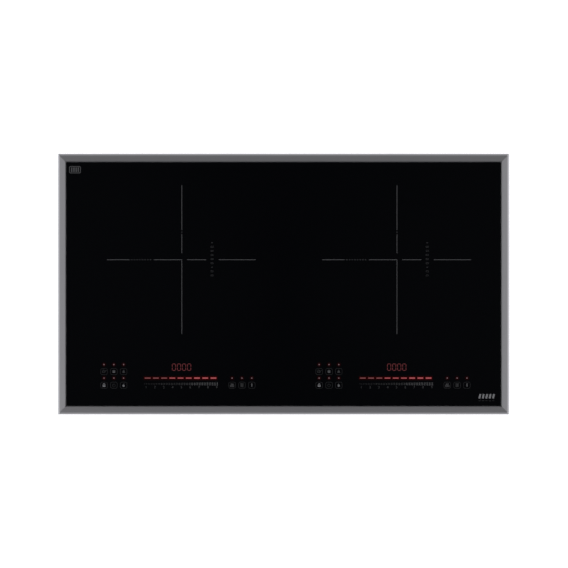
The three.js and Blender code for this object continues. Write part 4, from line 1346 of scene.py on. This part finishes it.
# %% [markdown]
# ## Swing clamps
#
# Each clamp is a small zinc casting: a bored hub, an arm, and a web under the arm. The arm's end has ridges
# that bite into the underside of the worktop. The three shapes are joined by Boolean, and every sharp edge
# is then softened, as a casting's are.

# %% Castings
HUB, ARM_LENGTH, ARM_THICK, WEB_THICK = 6.0, 24.0, 3.0, 2.4


def swing_clamp(z0, z1):
    """A clamp about the z axis, with its arm towards -y."""
    hub = turn([(0, z0), (HUB - 0.5, z0), (HUB, z0 + 0.5), (HUB, z1), (0, z1)], (0, 0, 0), 40)
    arm = bmesh.new()
    block(arm, (-HUB, -ARM_LENGTH, z1 - ARM_THICK), (HUB, 0, z1))
    bevel_edges(arm, [e for e in arm.edges if along(e, 2) and e.verts[0].co.y < -1], 3.0, 5)
    web = bmesh.new()
    outline_points = [
        (-1, z0 + 1), (-HUB, z0 + 1), (-ARM_LENGTH + 2, z1 - ARM_THICK),
        (-ARM_LENGTH + 2, z1 - 1), (-1, z1 - 1),
    ]
    side_face = web.faces.new([web.verts.new((-WEB_THICK / 2, y, z)) for y, z in outline_points])
    pulled = bmesh.ops.extrude_face_region(web, geom=[side_face], use_keep_orig=True)["geom"]
    moved = [v for v in pulled if isinstance(v, bmesh.types.BMVert)]
    bmesh.ops.translate(web, vec=(WEB_THICK, 0, 0), verts=moved)
    casting = combined(combined(hub, arm, "UNION"), web, "UNION")
    grooves = []
    for i in range(3):
        groove = bmesh.new()
        block(groove, (-8, -22.6 + 2.4 * i, z1 - 0.5), (8, -21.4 + 2.4 * i, z1 + 1))
        grooves.append(groove)
    bore = turn([(0, z0 - 1), (2.7, z0 - 1), (2.7, z1 + 1), (0, z1 + 1)], (0, 0, 0), 28)
    return combined(casting, joined(bore, *grooves))


for corner in CORNERS:
    low, high = span(f"swing_clamp_{corner}")
    casting = soften(swing_clamp(low.z, high.z), 50, 0.25)
    bmesh.ops.translate(casting, vec=(clamp_axis[corner].x, clamp_axis[corner].y, 0), verts=casting.verts)
    made = make_piece(
        f"swing_clamp_casting_{corner}", casting, bright_zinc, f"clamp_body_{corner}",
        [f"swing_clamp_{corner}"], merge=False,
    )
print(made.name, len(made.data.polygons), "faces")

# %% [markdown]
# ## The coils
#
# A cooking coil is one length of litz wire wound flat. A circle that spins about the zone's axis and moves
# outwards a little with every step gives that spiral in one operation. It is slightly taller than wide,
# because the bundle of fine strands is pressed flat against its neighbours. The coil lies between a mica
# disc and a moulded carrier with ferrite bars under its spokes.

# %% Winding
COIL_TURNS, COIL_STEPS = 26, 56
WIRE_RADIUS = 1.47


def wire_section(bm, x, z, radius, sides, tall=1.0):
    """A circle of wire in the xz plane. Returns its vertices and edges."""
    upright = Matrix.Rotation(math.pi / 2, 4, "X")
    place = Matrix.Translation((x, 0, z)) @ upright @ Matrix.Diagonal((1, tall, 1, 1))
    ring = bmesh.ops.create_circle(bm, segments=sides, radius=radius, matrix=place)["verts"]
    return ring + list({e for v in ring for e in v.link_edges})


def closed_ends(bm):
    """Caps every open end of a tube."""
    bmesh.ops.holes_fill(bm, edges=[e for e in bm.edges if e.is_boundary], sides=0)
    return bm


for side in SIDES:
    low, high = span(f"coil_winding_{side}")
    centre = zone[side]
    inner, outer = 24.0, (high.x - low.x) / 2
    pitch = (outer - inner - 2 * WIRE_RADIUS) / COIL_TURNS
    winding = bmesh.new()
    section = wire_section(winding, inner + WIRE_RADIUS, (low.z + high.z) / 2, WIRE_RADIUS, 10, 1.2)
    bmesh.ops.spin(
        winding, geom=section, cent=(0, 0, 0), axis=(0, 0, 1), dvec=(pitch / COIL_STEPS, 0, 0),
        angle=math.tau * COIL_TURNS, steps=COIL_STEPS * COIL_TURNS,
    )
    closed_ends(winding)
    bmesh.ops.translate(winding, vec=(centre.x, centre.y, 0), verts=winding.verts)
    litz = make_piece(
        f"litz_winding_{side}", winding, varnished_copper, f"coil_{side}",
        [f"coil_winding_{side}"], merge=False,
    )
    print(litz.name, len(litz.data.polygons), "faces")

# %% Mica discs and ferrite bars
for side in SIDES:
    low, high = span(f"mica_disc_{side}")
    centre = (zone[side].x, zone[side].y, 0)
    edge = (high.x - low.x) / 2
    disc_profile = [
        (12, low.z), (edge - 0.15, low.z), (edge, low.z + 0.15),
        (edge, high.z - 0.15), (edge - 0.15, high.z), (12, high.z),
    ]
    make_piece(
        f"mica_sheet_{side}", turn(disc_profile, centre, 96), pressed_mica, f"coil_{side}",
        [f"mica_disc_{side}"],
    )
    under = span(f"coil_carrier_{side}")[1].z - 4
    bars = [
        Matrix.Translation(centre) @ Matrix.Rotation(math.tau * (i + 0.5) / 8, 4, "Z") for i in range(8)
    ]
    ferrites = repeated(rounded_block((30, -6, under - 3.3), (84, 6, under - 0.3), 0.6, 2), bars)
    make_piece(f"ferrite_bars_{side}", ferrites, ferrite, f"coil_{side}", merge=False)
print("mica and ferrite in place")

# %% [markdown]
# The heat sensor is a silicone pad on a stem, pressed up to the glass through the middle of the coil. The
# springs are made like the spiral, but rising instead of spreading.

# %% Sensors
for side in SIDES:
    low, high = span(f"heat_sensor_{side}")
    spot = (zone[side].x, zone[side].y, 0)
    pad_low = high.z - 2
    sensor = joined(
        turn(
            [
                (0, pad_low), (9.4, pad_low), (10, pad_low + 0.5), (10, high.z - 0.5), (9.5, high.z),
                (7.2, high.z), (6.8, high.z - 0.4), (6.4, high.z), (0, high.z),
            ],
            spot, 48,
        ),
        turn(
            [(0, low.z), (3.4, low.z), (4, low.z + 0.6), (4, pad_low - 0.02), (0, pad_low - 0.02)], spot, 32
        ),
    )
    make_piece(
        f"sensor_pad_{side}", sensor, silicone, f"sensor_{side}",
        [f"heat_sensor_{side}"], merge=False,
    )
print("sensor stem from z", round(low.z, 1))


# %% Coil springs
def coil_spring(x, y, z0, z1, radius, wire, turns, steps=22):
    """An open spring between two heights. It starts on the +x side."""
    bm = bmesh.new()
    rise = (z1 - z0 - 2 * wire) / (steps * turns)
    section = wire_section(bm, radius, z0 + wire, wire, 8)
    bmesh.ops.spin(
        bm, geom=section, cent=(0, 0, 0), axis=(0, 0, 1), dvec=(0, 0, rise),
        angle=math.tau * turns, steps=round(steps * turns),
    )
    closed_ends(bm)
    bmesh.ops.translate(bm, vec=(x, y, 0), verts=bm.verts)
    return bm


PRESS_CIRCLE, PRESS_SPRING, PRESS_WIRE, PRESS_TRAVEL = 95.0, 5.4, 0.65, 4.0
SENSOR_SPRING, SENSOR_WIRE, SENSOR_TRAVEL = 7.0, 0.4, 2.0
for side in SIDES:
    centre = zone[side]
    for number in (1, 2, 3):
        node = f"coil_spring_{side}_{number}"
        low, high = span(node)
        angle = math.pi / 2 + math.tau * (number - 1) / 3
        x = centre.x + PRESS_CIRCLE * math.cos(angle)
        y = centre.y + PRESS_CIRCLE * math.sin(angle)
        wound = coil_spring(x, y, low.z, high.z, PRESS_SPRING, PRESS_WIRE, 3.5)
        name = f"press_spring_{side}_{number}"
        spring = make_piece(name, wound, spring_wire, "housing", [node], merge=False)
        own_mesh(spring)
    node = f"sensor_spring_{side}"
    low, high = span(node)
    wound = coil_spring(centre.x, centre.y, low.z, high.z, SENSOR_SPRING, SENSOR_WIRE, 2.5)
    name = f"light_spring_{side}"
    spring = make_piece(name, wound, spring_wire, f"coil_{side}", [node], merge=False)
    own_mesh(spring)

# %% [markdown]
# ## The fans
#
# A fan's frame is a rounded square with a flared bore, four fixing holes and a hub plate on four struts.
# The rotor's cup is turned, and a blade grows from it in small steps: a cambered line is pushed outwards
# and turned a little each time, from a steep root to a flatter tip. Solidify gives it its thickness.

# %% Fan frames
FAN_BORE, FAN_CORNER, FAN_HOLE, FAN_HOLE_IN = 37.5, 4.5, 2.2, 4.25


def fan_frame(low, high):
    body = rounded_block(low, high, 0.5, 2, upright=FAN_CORNER)
    spot = ((low.x + high.x) / 2, (low.y + high.y) / 2, 0)
    z0, z1 = low.z, high.z
    mouth = turn(
        [
            (0, z0 - 1), (FAN_BORE + 1.2, z0 - 1), (FAN_BORE + 1.2, z0), (FAN_BORE, z0 + 1.6),
            (FAN_BORE, z1 - 1.6), (FAN_BORE + 1.2, z1), (FAN_BORE + 1.2, z1 + 1), (0, z1 + 1),
        ],
        spot, 72,
    )
    holes = [
        turn([(0, z0 - 1), (FAN_HOLE, z0 - 1), (FAN_HOLE, z1 + 1), (0, z1 + 1)], (x, y, 0), 20)
        for x in (low.x + FAN_HOLE_IN, high.x - FAN_HOLE_IN)
        for y in (low.y + FAN_HOLE_IN, high.y - FAN_HOLE_IN)
    ]
    ring = combined(body, joined(mouth, *holes))
    plate = turn([(0, z0), (16.6, z0), (17, z0 + 0.4), (17, z0 + 3), (0, z0 + 3)], spot, 48)
    strut = rounded_block((15, -2, z0 + 0.1), (FAN_BORE + 1.5, 2, z0 + 2.8), 0.5, 2)
    bearing = turn([(3, z0 + 2.9), (4, z0 + 2.9), (4, z0 + 8.6), (3.6, z0 + 9), (3, z0 + 9)], spot, 28)
    turned = [Matrix.Translation(spot) @ Matrix.Rotation(math.tau * (i + 0.5) / 4, 4, "Z") for i in range(4)]
    return joined(ring, plate, repeated(strut, turned), bearing)


for side in SIDES:
    make_piece(
        f"fan_housing_{side}", fan_frame(*span(f"fan_frame_{side}")), black_moulding, "housing",
        [f"fan_frame_{side}"], merge=False,
    )
print("fan frames done")

# %% Fan rotors
BLADES, BLADE_STEPS, BLADE_THICK = 7, 6, 1.3
ROOT_PITCH, TIP_PITCH, CHORD = 48, 30, 16.0
CUP_RADIUS, TIP_RADIUS = 17.0, 36.2


def blade(mid_z):
    """One blade along +x, from inside the cup to the tip."""
    bm = bmesh.new()
    line = [bm.verts.new((0, CHORD * (i / 6 - 0.5), 1.6 - 6.4 * (i / 6 - 0.5) ** 2)) for i in range(7)]
    edges = [bm.edges.new(pair) for pair in zip(line, line[1:])]
    tilt = Matrix.Rotation(math.radians(ROOT_PITCH), 3, "X")
    bmesh.ops.rotate(bm, cent=(0, 0, 0), matrix=tilt, verts=bm.verts)
    bmesh.ops.translate(bm, vec=(CUP_RADIUS - 0.8, 0, mid_z), verts=bm.verts)
    step = (TIP_RADIUS - CUP_RADIUS - 0.4) / BLADE_STEPS
    untwist = Matrix.Rotation(math.radians((TIP_PITCH - ROOT_PITCH) / BLADE_STEPS), 3, "X")
    for _ in range(BLADE_STEPS):
        grown = bmesh.ops.extrude_edge_only(bm, edges=edges)["geom"]
        edges = [g for g in grown if isinstance(g, bmesh.types.BMEdge)]
        fresh = [g for g in grown if isinstance(g, bmesh.types.BMVert)]
        bmesh.ops.translate(bm, vec=(step, 0, 0), verts=fresh)
        bmesh.ops.rotate(bm, cent=(0, 0, mid_z), matrix=untwist, verts=fresh)
    bmesh.ops.recalc_face_normals(bm, faces=bm.faces)
    return thickened(bm, BLADE_THICK)


for side in SIDES:
    low, high = span(f"fan_rotor_{side}")
    spot = Vector((middle(f"fan_frame_{side}").x, middle(f"fan_frame_{side}").y, 0))
    cup = turn(
        [
            (0, high.z), (14.5, high.z), (16.4, high.z - 0.7), (CUP_RADIUS, high.z - 2.4),
            (CUP_RADIUS, low.z), (CUP_RADIUS - 1.5, low.z), (CUP_RADIUS - 1.5, high.z - 2.4),
            (14.3, high.z - 1.5), (0, high.z - 1.5),
        ],
        spot, 56,
    )
    shaft = turn([(0, low.z), (1.5, low.z), (1.5, high.z - 1.45), (0, high.z - 1.45)], spot, 20)
    around = [
        Matrix.Translation(spot) @ Matrix.Rotation(math.tau * i / BLADES, 4, "Z") for i in range(BLADES)
    ]
    rotor = joined(cup, shaft, repeated(blade((low.z + high.z) / 2), around))
    turned_part = make_piece(
        f"fan_impeller_{side}", rotor, black_moulding, f"fan_{side}",
        [f"fan_rotor_{side}"], merge=False,
    )
    print(turned_part.name, len(turned_part.data.polygons), "faces")

# %% [markdown]
# ## Power electronics
#
# The parts on the boards are what such a cooker has: film capacitors in box cases, a power transistor and a
# rectifier held to the heat sink, and a wound choke. The boxes are softened blocks with their leads under
# them. The choke's core is a ring with an oval section, and its winding is one loop of wire copied round
# it.

# %% Capacitors, transistors and rectifiers
def leads(bm_list, spots, z0, z1, width=1.1):
    """Flat tinned legs down to the board."""
    for x, y in spots:
        leg = bmesh.new()
        block(leg, (x - width / 2, y - 0.3, z0), (x + width / 2, y + 0.3, z1))
        bm_list.append(leg)


for side in SIDES:
    legs = []
    for kind in ("resonance_capacitor", "smoothing_capacitor"):
        low, high = span(f"{kind}_{side}")
        case = rounded_block(low + Vector((0, 0, 0.3)), high, 0.9, 3)
        case_top = max(case.faces, key=lambda f: f.calc_center_median().z)
        bmesh.ops.inset_individual(case, faces=[case_top], thickness=1.4, use_even_offset=True)
        bmesh.ops.translate(case, vec=(0, 0, -0.4), verts=case_top.verts)
        make_piece(f"{kind}_case_{side}", case, capacitor_box, "housing", [f"{kind}_{side}"])
        mid_y = (low.y + high.y) / 2
        leads(legs, [(low.x + 4, mid_y), (high.x - 4, mid_y)], board_top, low.z + 0.35)
    for kind, count in (("power_transistor", 3), ("bridge_rectifier", 4)):
        low, high = span(f"{kind}_{side}")
        body = rounded_block(low, high, 0.5, 2)
        mid_x = (low.x + high.x) / 2
        bore = turn([(0, -9), (1.8, -9), (1.8, 9), (0, 9)], (0, 0, 0), 20)
        bmesh.ops.rotate(bore, cent=(0, 0, 0), matrix=Matrix.Rotation(math.pi / 2, 3, "X"), verts=bore.verts)
        bmesh.ops.translate(bore, vec=(mid_x, low.y, high.z - 5), verts=bore.verts)
        make_piece(
            f"{kind}_body_{side}", combined(body, bore), epoxy, "housing",
            [f"{kind}_{side}"], merge=False,
        )
        gap = (high.x - low.x - 3) / (count - 1)
        leads(legs, [(low.x + 1.5 + gap * i, low.y + 2) for i in range(count)], board_top, low.z + 0.4, 1.4)
    make_piece(f"component_legs_{side}", joined(*legs), bright_zinc, "housing", merge=False)
print(len(legs), "legs a side")

# %% Wound chokes
LOOPS = 24
for side in SIDES:
    low, high = span(f"filter_choke_{side}")
    spot = (low + high) / 2
    tall = (high.z - low.z) / 2 / 3.9
    place = Matrix.Translation(spot) @ Matrix.Diagonal((1, 1, tall, 1))
    core = bmesh.new()
    section = wire_section(core, 10.9, 0, 2.9, 16)
    bmesh.ops.spin(
        core, geom=section, cent=(0, 0, 0), axis=(0, 0, 1), angle=math.tau, steps=48, use_merge=True
    )
    bmesh.ops.transform(core, matrix=place, verts=core.verts)
    make_piece(f"choke_core_{side}", core, ferrite, "housing", [f"filter_choke_{side}"])
    loop = bmesh.new()
    outer_spot = Matrix.Translation((14.3, 0, 0))
    strand = bmesh.ops.create_circle(loop, segments=6, radius=0.5, matrix=outer_spot)["verts"]
    ring_edges = list({e for v in strand for e in v.link_edges})
    bmesh.ops.spin(
        loop, geom=strand + ring_edges, cent=(10.9, 0, 0), axis=(0, 1, 0),
        angle=math.tau, steps=22, use_merge=True,
    )
    around = [place @ Matrix.Rotation(math.tau * (i + 0.5) / (LOOPS + 2), 4, "Z") for i in range(LOOPS)]
    loops = repeated(loop, around)
    make_piece(f"choke_winding_{side}", loops, varnished_copper, "housing", merge=False)
print(LOOPS, "loops on each choke")

# %% [markdown]
# Boards carry many small parts. Their exact places don't matter, but they shouldn't line up, so they come
# from a seeded random choice and keep clear of one another and of the larger parts.

# %% Small components
PART_SIZES = [(3.2, 1.6, 0.7), (2.0, 1.3, 0.6), (5.0, 4.0, 1.6), (9.8, 6.0, 1.9), (4.6, 2.6, 1.4)]
dice = random.Random(7)


def small_parts(board, keep_out, count):
    """Little bevelled bodies scattered on a board's upper side, clear of rectangles in keep_out."""
    low, high = span(board)
    bodies = []
    taken = list(keep_out)
    for _ in range(count):
        w, d, h = dice.choice(PART_SIZES)
        x = dice.uniform(low.x + 5 + w / 2, high.x - 5 - w / 2)
        y = dice.uniform(low.y + 5 + d / 2, high.y - 5 - d / 2)
        spot = (x - w / 2 - 0.8, y - d / 2 - 0.8, x + w / 2 + 0.8, y + d / 2 + 0.8)
        if any(spot[0] < b[2] and b[0] < spot[2] and spot[1] < b[3] and b[1] < spot[3] for b in taken):
            continue
        taken.append(spot)
        body = rounded_block((x - w / 2, y - d / 2, high.z), (x + w / 2, y + d / 2, high.z + h), 0.15, 1)
        bodies.append(body)
    return bodies


def footprint(node, margin=1.0):
    low, high = span(node)
    return (low.x - margin, low.y - margin, high.x + margin, high.y + margin)


screw_spots = [(x - 4.5, y - 4.5, x + 4.5, y + 4.5) for x, y in pillar_spots]
LEAD_X, LEAD_PITCH, TERMINAL_Y = 34.0, 5.0, -94.4
CABLE_WIDTH = 20.0
cable_left = {side: zone[side].x + 62 for side in SIDES}
SOCKET_SPOTS = {"touch": (-132.0, -126.2, 3.6), "power": (-48.5, -41.5, 5.4)}
for side in SIDES:
    plug_spots = [
        (cable_left[side] - 3, front - 2, cable_left[side] + CABLE_WIDTH + 3, back + 2)
        for front, back, _ in SOCKET_SPOTS.values()
    ]
    terminal = zone[side] + Vector((LEAD_X, TERMINAL_Y, 0))
    plug_spots.append((terminal.x - 5, terminal.y - 8, terminal.x + 10, terminal.y + 10))
    tall_parts = [
        footprint(f"{kind}_{side}")
        for kind in (
            "heat_sink", "power_transistor", "bridge_rectifier",
            "resonance_capacitor", "smoothing_capacitor", "filter_choke",
        )
    ]
    scattered = small_parts(f"power_board_{side}", tall_parts + screw_spots + plug_spots, 160)
    print(len(scattered), "small parts on the power board")
    light_spot = footprint(f"display_block_{side}", 2)
    scattered += small_parts(f"control_board_{side}", [light_spot] + plug_spots, 90)
    make_piece(f"small_parts_{side}", joined(*scattered), epoxy, "housing", merge=False)
filter_parts = small_parts("mains_filter_board", screw_spots, 40)
make_piece("filter_parts", joined(*filter_parts), epoxy, "housing", merge=False)

# %% [markdown]
# ## Wiring
#
# Two sleeved leads run from each coil down past the edge of its support to the power board. The coil end
# moves with the coil and the board end stays, so a lead can't ride on one body, and it rides on none. A lead
# is a curve with a round section, made a mesh at once, and it ends in a screw terminal. A flat cable joins
# the touch board to the power board. It is an edge pushed along its path, and then thickened, and each end
# goes into a small socket.

# %% Coil leads
LEAD_RADIUS = 1.7
TERMINAL_TALL = 6.6
LEAD_PATH = [
    (33, -84, 66.2), (33, -92, 63.0), (33, -103, 59.5), (33.5, -114, 55), (34, -119, 45),
    (34, -119, 32), (34, -115, 20), (34, -106, 12), (34, -97, 9.9), (34, -93, 9.7),
]


def lead(points):
    """A round tube along points, as a bmesh."""
    curve = bpy.data.curves.new("lead", "CURVE")
    curve.dimensions = "3D"
    curve.bevel_depth = LEAD_RADIUS
    curve.bevel_resolution = 3
    curve.resolution_u = 8
    curve.use_fill_caps = True
    line = curve.splines.new("NURBS")
    line.points.add(len(points) - 1)
    for point, spot in zip(line.points, points):
        point.co = (*spot, 1)
    line.use_endpoint_u = True
    line.order_u = 4
    holder = show("lead", curve)
    mesh = bpy.data.meshes.new_from_object(holder)
    bpy.data.curves.remove(curve)
    bm = bmesh.new()
    bm.from_mesh(mesh)
    bpy.data.meshes.remove(mesh)
    return bm


for side in SIDES:
    centre = zone[side]
    for number, shift in ((1, 0), (2, LEAD_PITCH)):
        spots = [(centre.x + x + shift, centre.y + y, z) for x, y, z in LEAD_PATH]
        sleeve = make_piece(f"coil_lead_{side}_{number}", lead(spots), wire_sleeve, None)
        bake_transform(sleeve)
    board_top = span(f"power_board_{side}")[1].z
    corner = centre + Vector((LEAD_X - 3.4, TERMINAL_Y, 0))
    terminal_top = board_top + TERMINAL_TALL
    block_end = (corner.x + LEAD_PITCH + 6.8, corner.y + 8, terminal_top)
    body = rounded_block((corner.x, corner.y, board_top), block_end, 0.5, 2)
    screws = [Vector((centre.x + LEAD_X + shift, corner.y + 4.6, 0)) for shift in (0, LEAD_PITCH)]
    floor_of_well = terminal_top - 1.5
    well = [(0, floor_of_well), (1.9, floor_of_well), (1.9, terminal_top + 1), (0, terminal_top + 1)]
    body = combined(body, joined(*(turn(well, tuple(spot), 20) for spot in screws)))
    make_piece(f"coil_terminal_{side}", body, brown_moulding, "housing")
    places = [Matrix.Translation((spot.x, spot.y, floor_of_well)) for spot in screws]
    heads = repeated(pan_head(1.7, 1.0), places)
    make_piece(f"terminal_screws_{side}", heads, bright_zinc, "housing", merge=False)
print("leads of", len(LEAD_PATH), "points, each ending in a screw terminal")

# %% Flat cables
CABLE_THICK = 0.8
CABLE_PATH = [
    (-128, 62.3), (-126.2, 62.6), (-124.9, 63.6), (-123.9, 65.4), (-122.4, 66.5), (-119.5, 66.6),
    (-116.5, 65), (-114.5, 61), (-112, 50), (-107, 36), (-98, 23), (-86, 15.6), (-72, 12.4),
    (-60, 11.3), (-51, 11), (-45, 11),
]
SOCKET_BOARDS = {"touch": "control_board", "power": "power_board"}
for side in SIDES:
    left = cable_left[side]
    cable = bmesh.new()
    first_y, first_z = CABLE_PATH[0]
    ends = [cable.verts.new((left + i * CABLE_WIDTH / 4, first_y, first_z)) for i in range(5)]
    edges = [cable.edges.new(pair) for pair in zip(ends, ends[1:])]
    for (y0, z0), (y1, z1) in zip(CABLE_PATH, CABLE_PATH[1:]):
        grown = bmesh.ops.extrude_edge_only(cable, edges=edges)["geom"]
        edges = [g for g in grown if isinstance(g, bmesh.types.BMEdge)]
        fresh = [g for g in grown if isinstance(g, bmesh.types.BMVert)]
        bmesh.ops.translate(cable, vec=(0, y1 - y0, z1 - z0), verts=fresh)
    bmesh.ops.recalc_face_normals(cable, faces=cable.faces)
    cable = thickened(cable, CABLE_THICK)
    make_piece(f"flat_cable_{side}", cable, ribbon_grey, "housing", merge=False, sharp=60)
    for place, (front, back, height) in SOCKET_SPOTS.items():
        top = span(f"{SOCKET_BOARDS[place]}_{side}")[1].z
        body = rounded_block((left - 1.6, front, top), (left + CABLE_WIDTH + 1.6, back, top + height), 0.4, 2)
        slot = bmesh.new()
        slot_low = (left + 1, front + 1.2, top + height - 0.9)
        block(slot, slot_low, (left + CABLE_WIDTH - 1, front + 2.2, top + height + 1))
        body = combined(body, slot)
        name = f"cable_socket_{place}_{side}"
        make_piece(name, body, white_moulding, "housing", sharp=40)
print("flat cables", CABLE_WIDTH, "mm wide, each with", len(SOCKET_SPOTS), "sockets")

# %% [markdown]
# ## Parts that keep their plain shape
#
# Boards, heat sinks, coil supports, coil carriers, touch trays, light boxes and the terminal block already
# have the right shape, so they stay as they are and only get a finish.

# %% Finishes for the plain parts
KEPT = {
    "power_board": (board_green, "circuit_board"),
    "control_board": (board_green, "circuit_board"),
    "heat_sink": (mill_aluminium, "aluminium"),
    "coil_support": (mill_aluminium, "aluminium"),
    "coil_carrier": (brown_moulding, "carrier_plastic"),
    "control_tray": (black_moulding, "dark_plastic"),
    "display_block": (white_moulding, "light_plastic"),
}
kept_nodes = {f"{kind}_{side}": finish_and_slot for kind, finish_and_slot in KEPT.items() for side in SIDES}
kept_nodes["mains_filter_board"] = (board_green, "circuit_board")
kept_nodes["terminal_block"] = (white_moulding, "light_plastic")
for name, (material, slot_name) in kept_nodes.items():
    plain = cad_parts[name]
    plain.data.materials.clear()
    plain.data.materials.append(material)
print(len(kept_nodes), "plain parts finished")
